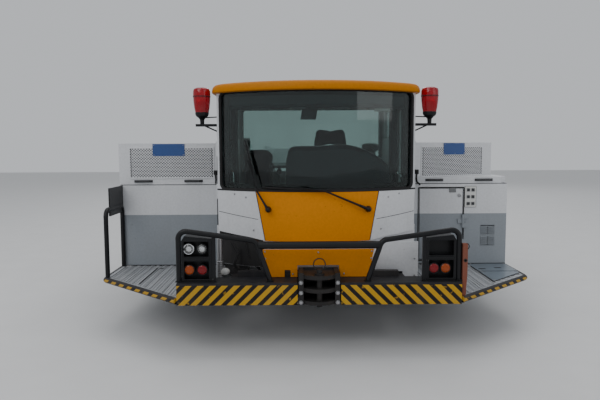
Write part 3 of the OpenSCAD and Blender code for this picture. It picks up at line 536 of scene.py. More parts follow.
def host_points(spots):
    """A mesh of loose points, each with a turn, from (point, turn) pairs."""
    me = bpy.data.meshes.new("points")
    me.from_pydata([p for p, _ in spots], [], [])
    turn = me.attributes.new("turn", "FLOAT_VECTOR", "POINT")
    for i, (_, t) in enumerate(spots):
        turn.data[i].vector = t
    return me


def screw_template(r=0.007, h=0.004):
    """A flat-topped round head with a cross slot's dimple."""
    head = Shape()
    head.lathe(Vector((0, 0, 0)), UP, [(r, -0.001), (r, h * 0.5), (r * 0.75, h), (r * 0.35, h),
                                       (r * 0.25, h * 0.6), (0, h * 0.55)], 12)
    return head.mesh("screw")


def bolt_template(r=0.012, h=0.009):
    """A hexagonal head on a washer."""
    head = Shape()
    head.lathe(Vector((0, 0, 0)), UP, [(r * 1.35, -0.001), (r * 1.35, h * 0.25), (r * 1.1, h * 0.3)], 18)
    head.lathe(Vector((0, 0, 0)), UP, [(r, h * 0.2), (r, h * 0.9), (r * 0.85, h), (0, h)], 6)
    return head.mesh("bolt")


def fasten(name, body, slot, template, material, spots):
    """Screws or bolts on (point, outward way) spots."""
    points = host_points([(p, out.to_track_quat("Z", "Y").to_euler()) for p, out in spots])
    return repeat("points", name, body, slot, template, material, points)


TREES = {}


# Finishes
def shader_group(name, inputs, outputs):
    """An empty shader node group with its sockets, its input node and its output node."""
    group = bpy.data.node_groups.new(name, "ShaderNodeTree")
    kinds = {"colour": "NodeSocketColor", "float": "NodeSocketFloat", "vector": "NodeSocketVector"}
    for label, (kind, value) in inputs.items():
        socket = group.interface.new_socket(label, in_out="INPUT", socket_type=kinds[kind])
        if value is not None:
            socket.default_value = value
    for label, kind in outputs.items():
        group.interface.new_socket(label, in_out="OUTPUT", socket_type=kinds[kind])
    return group, group.nodes.new("NodeGroupInput"), group.nodes.new("NodeGroupOutput")


class Nodes:
    """Short calls for building shader nodes in one tree."""

    def __init__(self, tree):
        self.tree = tree

    def new(self, kind, **values):
        """A new node with its settings."""
        node = self.tree.nodes.new(kind)
        for key, value in values.items():
            setattr(node, key, value)
        return node

    def feed(self, socket, value):
        """Links a socket to an input, or sets its value."""
        if isinstance(value, bpy.types.NodeSocket):
            self.tree.links.new(value, socket)
        elif value is not None:
            socket.default_value = value

    def math(self, operation, a, b=None, clamp=False):
        """A sum of two numbers or sockets."""
        node = self.new("ShaderNodeMath", operation=operation, use_clamp=clamp)
        self.feed(node.inputs[0], a)
        self.feed(node.inputs[1], b)
        return node.outputs[0]

    def mix(self, factor, a, b):
        """A colour between two colours."""
        node = self.new("ShaderNodeMix", data_type="RGBA")
        self.feed(node.inputs["Factor"], factor)
        self.feed(node.inputs["A"], a)
        self.feed(node.inputs["B"], b)
        return node.outputs["Result"]

    def noise(self, where, scale, detail=4, stretch=None):
        """Noise at a place, stretched along the axes if asked."""
        if stretch:
            mapped = self.new("ShaderNodeMapping")
            self.feed(mapped.inputs["Vector"], where)
            mapped.inputs["Scale"].default_value = stretch
            where = mapped.outputs[0]
        node = self.new("ShaderNodeTexNoise")
        self.feed(node.inputs["Vector"], where)
        self.feed(node.inputs["Scale"], scale)
        node.inputs["Detail"].default_value = detail
        return node.outputs["Fac"]

    def span(self, value, low, high, out_low=0.0, out_high=1.0):
        """Maps one range of numbers to another."""
        node = self.new("ShaderNodeMapRange")
        self.feed(node.inputs["Value"], value)
        for label, number in (("From Min", low), ("From Max", high), ("To Min", out_low),
                              ("To Max", out_high)):
            self.feed(node.inputs[label], number)
        return node.outputs[0]

    def xyz(self, vector):
        """The three parts of a vector."""
        node = self.new("ShaderNodeSeparateXYZ")
        self.feed(node.inputs[0], vector)
        return node.outputs


def weather_group():
    """Dust, streaks, chips and small colour changes on paint."""
    group, give, take = shader_group(
        "Weather",
        {"Colour": ("colour", None), "Dirt Colour": ("colour", (0.16, 0.14, 0.12, 1)),
         "Under": ("colour", (0.05, 0.03, 0.025, 1)),
         "Dirt": ("float", 0.5), "Streaks": ("float", 0.5), "Chips": ("float", 0.2), "Rough": ("float", 0.4)},
        {"Colour": "colour", "Roughness": "float", "Height": "float"})
    n = Nodes(group)
    spot = n.new("ShaderNodeTexCoord").outputs["Object"]
    z = n.xyz(spot)["Z"]
    low = n.span(z, 0.3, 1.4, 1.0, 0.45)
    broad = n.span(n.noise(spot, 2.3, 5), 0.42, 0.72)
    fine = n.noise(spot, 55, 5)
    streak = n.span(n.noise(spot, 1, 4, stretch=(13, 13, 0.9)), 0.5, 0.8)
    dirt = n.math("ADD", n.math("MULTIPLY", broad, 0.55), n.math("MULTIPLY", streak, give.outputs["Streaks"]))
    dirt = n.math("MULTIPLY", n.math("MULTIPLY", dirt, low), give.outputs["Dirt"], clamp=True)
    chips = n.math("MULTIPLY", n.span(n.noise(spot, 38, 7), 0.68, 0.70),
                   n.span(n.noise(spot, 3.1, 2), 0.5, 0.62))
    chips = n.math("MULTIPLY", chips, give.outputs["Chips"], clamp=True)
    shade = n.span(fine, 0.3, 0.7, 0.95, 1.05)
    tint = n.new("ShaderNodeVectorMath", operation="SCALE")
    n.feed(tint.inputs[0], give.outputs["Colour"])
    n.feed(tint.inputs["Scale"], shade)
    colour = n.mix(dirt, tint.outputs[0], give.outputs["Dirt Colour"])
    n.feed(take.inputs["Colour"], n.mix(chips, colour, give.outputs["Under"]))
    rough = n.math("ADD", give.outputs["Rough"], n.math("MULTIPLY", dirt, 0.35))
    n.feed(take.inputs["Roughness"], n.math("ADD", rough, n.math("MULTIPLY", chips, 0.25), clamp=True))
    n.feed(take.inputs["Height"], n.math("SUBTRACT", n.math("MULTIPLY", fine, 0.25), chips))
    return group


def stripes_group():
    """Slanted warning stripes that mirror at the tractor's middle."""
    group, give, take = shader_group("Stripes", {"Pitch": ("float", 0.086), "Share": ("float", 0.5)},
                                     {"Black": "float", "Worn": "float"})
    n = Nodes(group)
    spot = n.new("ShaderNodeTexCoord").outputs["Object"]
    x, y, z = n.xyz(spot)
    along = n.math("ADD", n.math("ABSOLUTE", x), z)
    turn = n.math("FRACT", n.math("DIVIDE", along, give.outputs["Pitch"]))
    edge = n.math("ABSOLUTE", n.math("SUBTRACT", turn, 0.5))
    n.feed(take.inputs["Black"], n.span(edge, n.math("MULTIPLY", give.outputs["Share"], 0.48),
                                        n.math("MULTIPLY", give.outputs["Share"], 0.52), 1.0, 0.0))
    n.feed(take.inputs["Worn"], n.span(n.noise(spot, 26, 6), 0.63, 0.68))
    return group


GROUPS = {}
MATS = {}


def finish(name, colour=(0.5, 0.5, 0.5), rough=0.4, metal=0.0, dirt=0.4, streaks=0.4, chips=0.1, bump=0.0006,
           under=(0.05, 0.03, 0.025), coat=0.0, gloss=0.5, dirt_colour=(0.15, 0.13, 0.115), paint=None,
           grain=None):
    """A weathered material. paint(n, spot) may give the colour, and grain(n, spot) adds a height."""
    mat = bpy.data.materials.new(name)
    mat.use_nodes = True
    n = Nodes(mat.node_tree)
    shader = mat.node_tree.nodes["Principled BSDF"]
    spot = n.new("ShaderNodeTexCoord").outputs["Object"]
    weather = n.new("ShaderNodeGroup", node_tree=GROUPS["weather"])
    n.feed(weather.inputs["Colour"], paint(n, spot) if paint else (*colour, 1))
    for label, value in (("Dirt Colour", (*dirt_colour, 1)), ("Under", (*under, 1)), ("Dirt", dirt),
                         ("Streaks", streaks),
                         ("Chips", chips), ("Rough", rough)):
        weather.inputs[label].default_value = value
    n.feed(shader.inputs["Base Color"], weather.outputs["Colour"])
    n.feed(shader.inputs["Roughness"], weather.outputs["Roughness"])
    shader.inputs["Metallic"].default_value = metal
    shader.inputs["Coat Weight"].default_value = coat
    shader.inputs["Coat Roughness"].default_value = 0.12
    shader.inputs["Specular IOR Level"].default_value = gloss
    bumper = n.new("ShaderNodeBump")
    bumper.inputs["Strength"].default_value = 0.6
    bumper.inputs["Distance"].default_value = bump
    height = weather.outputs["Height"]
    if grain:
        height = n.math("ADD", height, grain(n, spot))
    n.feed(bumper.inputs["Height"], height)
    n.feed(shader.inputs["Normal"], bumper.outputs[0])
    MATS[name] = mat
    return mat


def clear(name, colour, rough, see=1.0):
    """Glass or a clear plastic lens, with faint smears."""
    mat = bpy.data.materials.new(name)
    mat.use_nodes = True
    n = Nodes(mat.node_tree)
    shader = mat.node_tree.nodes["Principled BSDF"]
    spot = n.new("ShaderNodeTexCoord").outputs["Object"]
    smear = n.noise(spot, 4, 5, stretch=(1, 1, 0.25))
    n.feed(shader.inputs["Base Color"], n.mix(n.span(smear, 0.45, 0.8, 0.0, 0.25), (*colour, 1),
                                              tuple(c * 0.75 for c in colour) + (1,)))
    n.feed(shader.inputs["Roughness"], n.span(smear, 0.4, 0.8, rough, rough + 0.08))
    shader.inputs["Transmission Weight"].default_value = see
    shader.inputs["IOR"].default_value = 1.45
    MATS[name] = mat
    return mat


def two_tone(n, spot):
    """Grey low on the boxes and white above."""
    s = bpy.context.scene.tractor_finish
    edge = n.span(n.xyz(spot)["Z"], s.colour_change - 0.001, s.colour_change + 0.001)
    return n.mix(edge, (*s.grey, 1), (*s.white, 1))


STRIPE_YELLOW = (0.46, 0.255, 0.008, 1)
STRIPE_BLACK = (0.005, 0.005, 0.006, 1)
RIB_PITCH = 0.022


def chevrons(low_edge, high_edge, dark):
    """Stripes on faces that look outwards level, between two heights, and a dark colour elsewhere."""
    def paint(n, spot):
        """The stripes' colour at a spot."""
        s = bpy.context.scene.tractor_finish
        stripes = n.new("ShaderNodeGroup", node_tree=GROUPS["stripes"])
        stripes.inputs["Pitch"].default_value = s.chevron_pitch
        stripes.inputs["Share"].default_value = 0.47
        z = n.xyz(spot)["Z"]
        side = n.math("LESS_THAN", n.math("ABSOLUTE",
                                          n.xyz(n.new("ShaderNodeTexCoord").outputs["Normal"])["Z"]), 0.5)
        field = n.math("MULTIPLY", n.math("GREATER_THAN", z, low_edge), n.math("LESS_THAN", z, high_edge))
        black = n.math("MULTIPLY", stripes.outputs["Black"],
                       n.math("SUBTRACT", 1.0, n.math("MULTIPLY", stripes.outputs["Worn"], 0.5)))
        banded = n.mix(black, STRIPE_YELLOW, STRIPE_BLACK)
        return n.mix(n.math("MULTIPLY", side, field), (*dark, 1), banded)
    return paint


def ribs(n, spot):
    """Fine ribs that run along the tractor."""
    x = n.xyz(spot)["X"]
    wave = n.math("SINE", n.math("MULTIPLY", x, 2 * pi / RIB_PITCH))
    return n.math("MULTIPLY", wave, 1.2)


def grit(n, spot):
    """Coarse grains of a non-slip coating."""
    return n.span(n.noise(spot, 420, 2), 0.35, 0.7)


def weave(n, spot):
    """A coarse woven cloth."""
    x, y, z = n.xyz(spot)
    a = n.math("SINE", n.math("MULTIPLY", n.math("ADD", x, z), 1300))
    b = n.math("SINE", n.math("MULTIPLY", n.math("SUBTRACT", y, z), 1300))
    return n.math("MULTIPLY", n.math("MULTIPLY", a, b), 0.8)


def make_finishes():
    """Builds every finish of the tractor from the settings."""
    s = bpy.context.scene.tractor_finish
    GROUPS["weather"] = weather_group()
    GROUPS["stripes"] = stripes_group()
    d = s.dirt
    white, grey, yellow = tuple(s.white), tuple(s.grey), tuple(s.yellow)
    finish("white paint", white, 0.38, dirt=0.55 * d, streaks=0.35, chips=0.25, coat=0.15)
    finish("two tone paint", rough=0.38, dirt=0.5 * d, streaks=0.35, chips=0.25, coat=0.15, paint=two_tone)
    finish("grey paint", grey, 0.42, dirt=0.7 * d, streaks=0.5, chips=0.3, coat=0.1)
    finish("yellow paint", yellow, 0.45, dirt=0.25 * d, streaks=0.3, chips=0.3, gloss=0.12,
           dirt_colour=(0.25, 0.11, 0.02))
    finish("roof paint", tuple(0.75 * c for c in yellow), 0.5, dirt=0.5 * d, streaks=0.2, chips=0.4,
           gloss=0.12,
           dirt_colour=(0.22, 0.13, 0.05))
    finish("black paint", (0.005, 0.0055, 0.007), 0.38, dirt=0.15 * d, streaks=0.2, chips=0.4, coat=0.04,
           gloss=0.25,
           under=(0.20, 0.19, 0.19))
    finish("frame black", (0.012, 0.012, 0.014), 0.55, dirt=0.8 * d, streaks=0.3, chips=0.3, gloss=0.25)
    finish("striped bumper", rough=0.5, dirt=0.4 * d, streaks=0.4, chips=0.4, gloss=0.2,
           paint=chevrons(0.3, 0.534, (0.015, 0.016, 0.019)), under=(0.16, 0.14, 0.13))
    finish("ribbed aluminium", (0.44, 0.455, 0.475), 0.45, metal=0.35, dirt=0.9 * d, streaks=0.1, bump=0.0015,
           chips=0.3, grain=ribs, under=(0.10, 0.09, 0.085))
    finish("deck grip", (0.085, 0.088, 0.092), 0.7, dirt=1.2 * d, streaks=0.0, chips=0.3, bump=0.002,
           grain=grit)
    finish("striped edge", rough=0.5, gloss=0.2, dirt=0.5 * d, streaks=0.3, chips=0.6,
           paint=chevrons(0.3, 0.6, (0.02, 0.02, 0.023)))
    finish("hatch grey", (0.16, 0.20, 0.24), 0.35, metal=0.3, dirt=0.9 * d, chips=0.3)
    finish("rubber", (0.009, 0.009, 0.010), 0.6, dirt=0.3 * d, chips=0.0, bump=0.0003, gloss=0.3)
    finish("tyre rubber", (0.020, 0.020, 0.021), 0.72, dirt=1.5 * d, chips=0.0, bump=0.0012,
           dirt_colour=(0.13, 0.115, 0.10))
    finish("rim paint", (0.52, 0.53, 0.53), 0.45, dirt=1.6 * d, chips=0.6, dirt_colour=(0.12, 0.09, 0.07))
    finish("cast black", (0.011, 0.010, 0.010), 0.55, metal=0.4, dirt=0.6 * d, chips=0.5, bump=0.0025,
           under=(0.09, 0.045, 0.03))
    finish("cast grey", (0.10, 0.10, 0.105), 0.55, metal=0.6, dirt=1.2 * d, chips=0.3, bump=0.002)
    finish("rusty steel", (0.20, 0.055, 0.028), 0.7, metal=0.2, dirt=0.8 * d, chips=0.8, bump=0.002,
           under=(0.07, 0.03, 0.02))
    finish("plain steel", (0.36, 0.36, 0.37), 0.35, metal=0.9, dirt=0.8 * d, chips=0.1)
    finish("chrome", (0.75, 0.76, 0.78), 0.12, metal=1.0, dirt=0.3 * d, chips=0.0)
    finish("grained plastic", (0.022, 0.023, 0.027), 0.5, dirt=0.3 * d, chips=0.0, bump=0.0009)
    finish("console vinyl", (0.020, 0.022, 0.030), 0.42, dirt=0.25 * d, chips=0.0, bump=0.0006)
    finish("cab lining", (0.055, 0.06, 0.068), 0.7, dirt=0.3 * d, chips=0.0, bump=0.0009)
    finish("seat cloth", (0.020, 0.020, 0.028), 0.85, dirt=0.4 * d, chips=0.0, bump=0.0008, grain=weave)
    finish("blue plate", (0.008, 0.055, 0.22), 0.35, dirt=0.4 * d, chips=0.3, coat=0.3, under=(0.5, 0.5, 0.5))
    finish("pale plate", (0.62, 0.62, 0.60), 0.4, dirt=0.5 * d, chips=0.2)
    finish("dark plate", (0.16, 0.165, 0.17), 0.4, dirt=0.4 * d, chips=0.2)
    finish("shadow", (0.006, 0.006, 0.007), 0.8, dirt=0.3 * d, chips=0.0)
    clear("windscreen", (0.43, 0.54, 0.52), 0.01)
    clear("red lens", (0.26, 0.004, 0.008), 0.10, see=0.3)
    clear("beacon lens", (0.42, 0.002, 0.010), 0.10, see=0.4)
    clear("orange lens", (0.40, 0.065, 0.003), 0.10, see=0.3)
    clear("clear lens", (0.80, 0.81, 0.80), 0.05, see=0.92)


NODE_FINISH = {
    "chassis": "frame black", "bumpers": "striped bumper", "platforms": "ribbed aluminium",
    "deck": "deck grip",
    "side_pods": "grey paint", "side_boxes": "two tone paint", "hood_left": "white paint",
    "hood_right": "white paint",
    "locker_door": "two tone paint", "cab_frame": "white paint", "cab_roof": "roof paint",
    "cab_glass": "windscreen",
    "yellow_panels": "yellow paint", "white_panels": "white paint", "door_left": "white paint",
    "door_right": "white paint", "door_glass_left": "windscreen", "door_glass_right": "windscreen",
    "dashboard": "console vinyl", "seats": "seat cloth", "wipers": "black paint", "beacons": "beacon lens",
    "guard_rails": "black paint", "lamp_boxes": "black paint", "steel_post": "rusty steel",
    "hitches": "cast black",
    "cowl": "white paint", "cowl_lid_left": "white paint", "cowl_lid_right": "white paint",
    "engine": "cast grey",
    "axles": "cast black", "track_rod_front": "plain steel", "track_rod_rear": "plain steel",
}
for _wheel in WHEELS:
    NODE_FINISH.update({f"knuckle_{_wheel}": "cast grey", f"rim_{_wheel}": "rim paint",
                        f"tyre_{_wheel}": "tyre rubber"})


# Stage
# The camera's yaw, pitch and roll in degrees, and its place: across, before the nose, height in metres
CAMERA_TURN = (0.4384, 5.123, -0.2445)
CAMERA_PLACE = (-0.1658, 3.9975, 1.5)
# Name, place, aim, width and power of each light
LIGHTS = (
    ("Key", (-5.5, -11.5, 8.5), (0, -3, 0.8), 7, 400),
    ("Fill", (7.5, -9.5, 5.0), (0, -2, 0.8), 6, 110),
    ("Top", (0, -1.0, 9.0), (0, -1.0, 0), 9, 300),
    ("Back", (2, 13, 8.0), (0, 2, 0.8), 8, 320),
)


class SetStage(bpy.types.Operator):
    """Makes the camera, the lights and the floor"""
    bl_idname = "tractor.set_stage"
    bl_label = "Set the stage"

    def execute(self, context):
        s = context.scene.tractor_stage
        yaw, pitch, roll = map(radians, CAMERA_TURN)
        across, before, height = CAMERA_PLACE
        ahead = Vector((sin(yaw) * cos(pitch), cos(yaw) * cos(pitch), -sin(pitch)))
        right = Vector((cos(yaw), -sin(yaw), 0))
        up = right.cross(ahead)
        right, up = cos(roll) * right + sin(roll) * up, -sin(roll) * right + cos(roll) * up
        view = bpy.data.cameras.new("Camera")
        view.lens = s.lens
        view.sensor_width = 36
        view.clip_start = 0.05
        camera = bpy.data.objects.new("Camera", view)
        turn = Matrix((right, up, -ahead)).transposed().to_4x4()
        camera.matrix_world = Matrix.Translation((across, NOSE_Y - before, height)) @ turn
        context.scene.collection.objects.link(camera)
        context.scene.camera = camera

        world = bpy.data.worlds.new("Soft sky")
        world.use_nodes = True
        back = world.node_tree.nodes["Background"]
        back.inputs["Color"].default_value = (0.93, 0.96, 1.0, 1)
        back.inputs["Strength"].default_value = s.sky
        context.scene.world = world
        for name, spot, aim, size, power in LIGHTS:
            light = bpy.data.lights.new(name, "AREA")
            light.energy = power
            light.size = size
            lamp = bpy.data.objects.new(name, light)
            lamp.location = spot
            lamp.rotation_euler = (Vector(aim) - Vector(spot)).to_track_quat("-Z", "Y").to_euler()
            context.scene.collection.objects.link(lamp)

        ground = Shape()
        w = s.floor / 2
        ground.grid([[Vector((-w, -w, 0)), Vector((w, -w, 0))], [Vector((-w, w, 0)), Vector((w, w, 0))]])
        floor = bpy.data.objects.new("floor", ground.mesh("floor"))
        pale = bpy.data.materials.new("pale floor")
        pale.use_nodes = True
        n = Nodes(pale.node_tree)
        shader = pale.node_tree.nodes["Principled BSDF"]
        grain = n.noise(n.new("ShaderNodeTexCoord").outputs["Object"], 3, 5)
        n.feed(shader.inputs["Base Color"], n.mix(grain, (0.60, 0.60, 0.60, 1), (0.66, 0.66, 0.66, 1)))
        shader.inputs["Roughness"].default_value = 0.9
        floor.data.materials.append(pale)
        context.scene.collection.objects.link(floor)
        return {"FINISHED"}


class PaintFrame(bpy.types.Operator):
    """Builds the finishes and gives one to each CAD node"""
    bl_idname = "tractor.paint_frame"
    bl_label = "Paint the frame"

    def execute(self, context):
        TREES.update(points=tree_of_points(), ring=tree_of_ring(), rows=tree_of_rows())
        make_finishes()
        for node, name in NODE_FINISH.items():
            for slot in NODES[node].material_slots:
                slot.material = MATS[name]
        return {"FINISHED"}


# Cab outside
class FitScreen(bpy.types.Operator):
    """Fits the rubber and the dark borders of the windscreen and the cab's other windows"""
    bl_idname = "tractor.fit_screen"
    bl_label = "Window rubber"

    def execute(self, context):
        rubber = Shape()
        rubber.ring(rounded((-749, 749), (1186, 1936), 42, on_bow(15), 40), strip(24, 17))
        rubber.ring(rounded((-722, 722), (1252, 1910), 40, on_front(CAB_BACK_D - 14, 1)), strip(24, 8))
        for x in (-CAB_HALF, CAB_HALF):
            rubber.ring(rounded((1232, 1988), (1592, 1880), 40, on_side(x)), strip(28, 8))
        rubber.piece("window_rubber", "root", "dark_plastic", "rubber")

        border = Shape()
        behind, thick = 29, Vector((0, 0.003, 0))
        for edge in ((1195, 1232), (1898, 1930)):
            rows = [[at(x, bow_d(x, behind), z) for x in range(-736, 737, 32)] for z in edge]
            border.grid(rows, thick)
        for side in SIDES:
            rows = [[at(side * x, bow_d(x, behind), z) for x in (678, 700, 722, 737)]
                    for z in range(1200, 1930, 60)]
            border.grid(rows, thick)
        border.piece("screen_border", "root", "dark_plastic", "shadow")

        band = Shape()
        section = [(44, 1926), (44, 1838), (58, 1820), (250, 1812), (330, 1836), (330, 1926)]
        band.grid([[at(x, bow_d(x) + d, z) for x in range(-700, 701, 50)] for d, z in section])
        band.use(1)
        for x in (-430, -150, 180, 470):
            band.block(about(x, 60), (bow_d(x) + 150, bow_d(x) + 240), (1803, 1817))
        for x in (-560, 560):
            band.cylinder(at(x, 620, 1822), at(x, 620, 1806), 0.05, 24)
        band.piece("overhead_band", "root", "dark_plastic", ["cab lining", "dark plate"], 0.004)

        posts = Shape()
        foot_z, tall = 1150, 0.76
        for side in SIDES:
            for d in (600, 1190):
                foot = ((690, d - 40), (738, d - 60), (738, d + 50), (682, d + 40))
                posts.prism([at(side * x, depth, foot_z) for x, depth in foot], UP * tall)
        posts.piece("cab_posts", "root", "dark_plastic", "cab lining", 0.008)

        ledge = Shape()
        ledge.ring(line((-786, 1181), (786, 1181), on_bow(), 40), strip(12, 2), closed=False)
        ledge.piece("belt_strip", "root", "dark_plastic", "rubber")
        return {"FINISHED"}


class JoinPanels(bpy.types.Operator):
    """Lays dark strips along the seams of the cab's front panels and sets their screws"""
    bl_idname = "tractor.join_panels"
    bl_label = "Panel seams and screws"

    def execute(self, context):
        seams = Shape()
        for a, b in (((-775, 1007), (-452, 962)), ((452, 962), (775, 1003))):
            seams.ring(line(a, b, on_bow(), 30), strip(4, 0.6), closed=False)
        for side in SIDES:
            seams.ring(line((side * 471, 1180), (side * 400, 802), on_bow(), 30), strip(6, 0.6), closed=False)
        seams.piece("panel_seams", "root", "dark_plastic", "shadow")
        skirt = Shape()
        for x in ((405, 598), (652, 768)):
            skirt.block(x, (330, 333), (512, 561))
        skirt.piece("corner_skirt", "root", "white_paint", "white paint", 0.001)
        bow, low, corner = on_bow(), on_front(190), on_front(330)
        spots = [bow(x, z) for x, z in ((-548, 1128), (-489, 877), (548, 1128), (489, 884), (-640, 1150),
                                        (640, 1150))]
        spots += [low(x, z) for x, z in ((0, 735), (-392, 690), (392, 690), (-370, 575), (-190, 575),
                                         (190, 575), (370, 575),
                                         (-395, 742), (395, 742))]
        spots += [corner(x, z) for x, z in ((460, 658), (742, 657), (437, 528), (742, 527))]
        fasten("panel_screws", "root", "plain_steel", screw_template(), "plain steel", spots)
        return {"FINISHED"}


class FitWipers(bpy.types.Operator):
    """Makes the two wipers with their arms, springs and blades"""
    bl_idname = "tractor.fit_wipers"
    bl_label = "Wipers"

    def execute(self, context):
        wiper = Shape()
        for foot, elbow, tip in (((-374, 1042), (-461, 1187), (-524, 1416)),
                                 ((386, 1042), (50, 1187), (-133, 1210))):
            a, b, c = (at(x, bow_d(x) - 40, z) for x, z in (foot, elbow, tip))
            base = at(foot[0], bow_d(foot[0]) - 2, foot[1])
            wiper.lathe(base, (0, -1, 0), [(0.024, -0.002), (0.024, 0.014), (0.019, 0.030), (0.015, 0.052),
                                           (0.008, 0.058),
                                            (0, 0.058)], 20)
            wiper.cylinder(a, a.lerp(b, 0.22), 0.0125, 12, 0.010)
            wiper.cylinder(a.lerp(b, 0.2), b, 0.0085, 10, 0.0065)
            wiper.ball(b, 0.011, rings=6)
            wiper.cylinder(b, c, 0.0065, 10, 0.0050)
            for coil in range(9):
                p = a.lerp(b, 0.06 + 0.018 * coil)
                wiper.cylinder(p + Vector((0, -0.010, 0)), p + Vector((0, -0.014, 0)), 0.004, 6)
        wiper.use(1)
        for ends in (((-418, 1210), (89, 1190)), ((-486, 1303), (-548, 1560))):
            spots = steps(*ends, 14)
            wiper.tube([at(x, bow_d(x) - 20, z) for x, z in spots], 0.006, 6)
            wiper.tube([at(x, bow_d(x) - 7, z) for x, z in spots], 0.008, 4)
            for k in (2, 5, 9, 12):
                x, z = spots[k]
                wiper.cylinder(at(x, bow_d(x) - 32, z), at(x, bow_d(x) - 8, z), 0.006, 6)
        piece = wiper.piece("wiper_set", "root", "black_paint", ["black paint", "rubber"])
        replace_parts(piece, "wipers")
        return {"FINISHED"}


class FitBeacons(bpy.types.Operator):
    """Makes the two beacons with their lenses, bases and brackets"""
    bl_idname = "tractor.fit_beacons"
    bl_label = "Beacons"

    def execute(self, context):
        lens, base = Shape(), Shape()
        for side in SIDES:
            foot = at(side * 908, 620, 1783)
            lens.lathe(foot, UP, [(0.046, -0.004), (0.052, 0.002), (0.060, 0.040), (0.066, 0.090),
                                  (0.0685, 0.140),
                                          (0.068, 0.172), (0.062, 0.190), (0.046, 0.199), (0.020, 0.202),
                                          (0, 0.202)], 40)
            base.lathe(foot, UP, [(0, -0.086), (0.016, -0.086), (0.018, -0.050), (0.030, -0.036),
                                  (0.048, -0.022),
                                          (0.054, -0.006), (0.054, 0.006), (0.050, 0.010), (0.030, 0.016),
                                          (0.026, 0.030),
                                          (0.022, 0.090), (0, 0.094)], 32)
            base.lathe(foot, UP, [(0.0705, 0.128), (0.0705, 0.133), (0.068, 0.135), (0.066, 0.133)], 40)
            x0, x1 = (785, 953) if side > 0 else (-953, -785)
            base.block((x0, x1), (572, 640), (1690, 1697))
            base.block((x0, x1), (572, 576), (1676, 1690))
            base.block((785 * side, 791 * side), (606, 638), (1600, 1697))
            base.cylinder(at(side * 785, 600, 1752), at(side * 900, 614, 1748), 0.005, 10)
            base.cylinder(at(side * 788, 590, 1640), at(side * 900, 600, 1690), 0.006, 10)
        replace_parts(lens.piece("beacon_lenses", "root", "red_lens", "beacon lens", 0, 30), "beacons")
        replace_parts(base.piece("beacon_bases", "root", "black_paint", "black paint", 0.0015), "beacons")
        return {"FINISHED"}


class FitLamps(bpy.types.Operator):
    """Puts lenses and rings on the round lamps at both ends"""
    bl_idname = "tractor.fit_lamps"
    bl_label = "Lamps"

    def execute(self, context):
        lens_r = 0.0335
        rings = Shape()
        lenses = {"clear lens": Shape(), "orange lens": Shape(), "red lens": Shape()}
        table = [(-932, 788, "clear lens", -1), (-838, 788, "clear lens", -1), (-930, 636, "orange lens", -1),
                 (-838, 636, "red lens", -1), (826, 640, "red lens", -1), (910, 640, "orange lens", -1)]
        table += [(side * x, 1060, kind, 1) for side in SIDES for x,
                  kind in ((1180, "red lens"), (1290, "orange lens"))]
        for x, z, kind, way in table:
            face = at(x, 61 if way < 0 else 8450.3, z)
            out = (0, way, 0)
            ring = [(0.0385, -0.012), (0.0415, -0.004), (0.0415, 0.003), (0.038, 0.007), (0.034, 0.006),
                    (0.033, 0.001),
                    (0.033, -0.002)]
            rings.use(0 if x == -932 else 1).lathe(face, out, ring, 32)
            dome = [(lens_r, -0.0005)]
            dome += [(lens_r * cos(radians(a)), 0.002 + 0.008 * sin(radians(a)))
                     for a in (5, 20, 35, 50, 65, 80)]
            lenses[kind].lathe(face, out, dome + [(0, 0.010)], 32)
            for r in (0.010, 0.018, 0.026):
                h = 0.002 + 0.008 * sqrt(1 - (r / lens_r) ** 2)
                lenses[kind].lathe(face, out, [(r - 0.0012, h - 0.001), (r, h + 0.0007),
                                               (r + 0.0012, h - 0.001)], 32)
            if kind == "clear lens":
                rings.use(0).lathe(face, out, [(0.031, 0.0), (0.022, -0.0002), (0.010, 0.001), (0, 0.003)],
                                   24)
        rings.piece("lamp_rings", "root", "plain_steel", ["chrome", "black paint"])
        for kind, shape in lenses.items():
            shape.piece(kind.replace(" ", "_") + "es", "root", "red_lens", kind)

        edge = Shape()
        for side in SIDES:
            for z in ((730, 846), (566, 704)):
                edge.ring(rounded(about(side * LAMP_BOX_X, 92), z, 8, on_front(51)), strip(8, 3))
            edge.block(about(side * LAMP_BOX_X, 94), (46, 52), (709, 725))
        edge.piece("lamp_box_edges", "root", "black_paint", "black paint", 0.001)
        return {"FINISHED"}


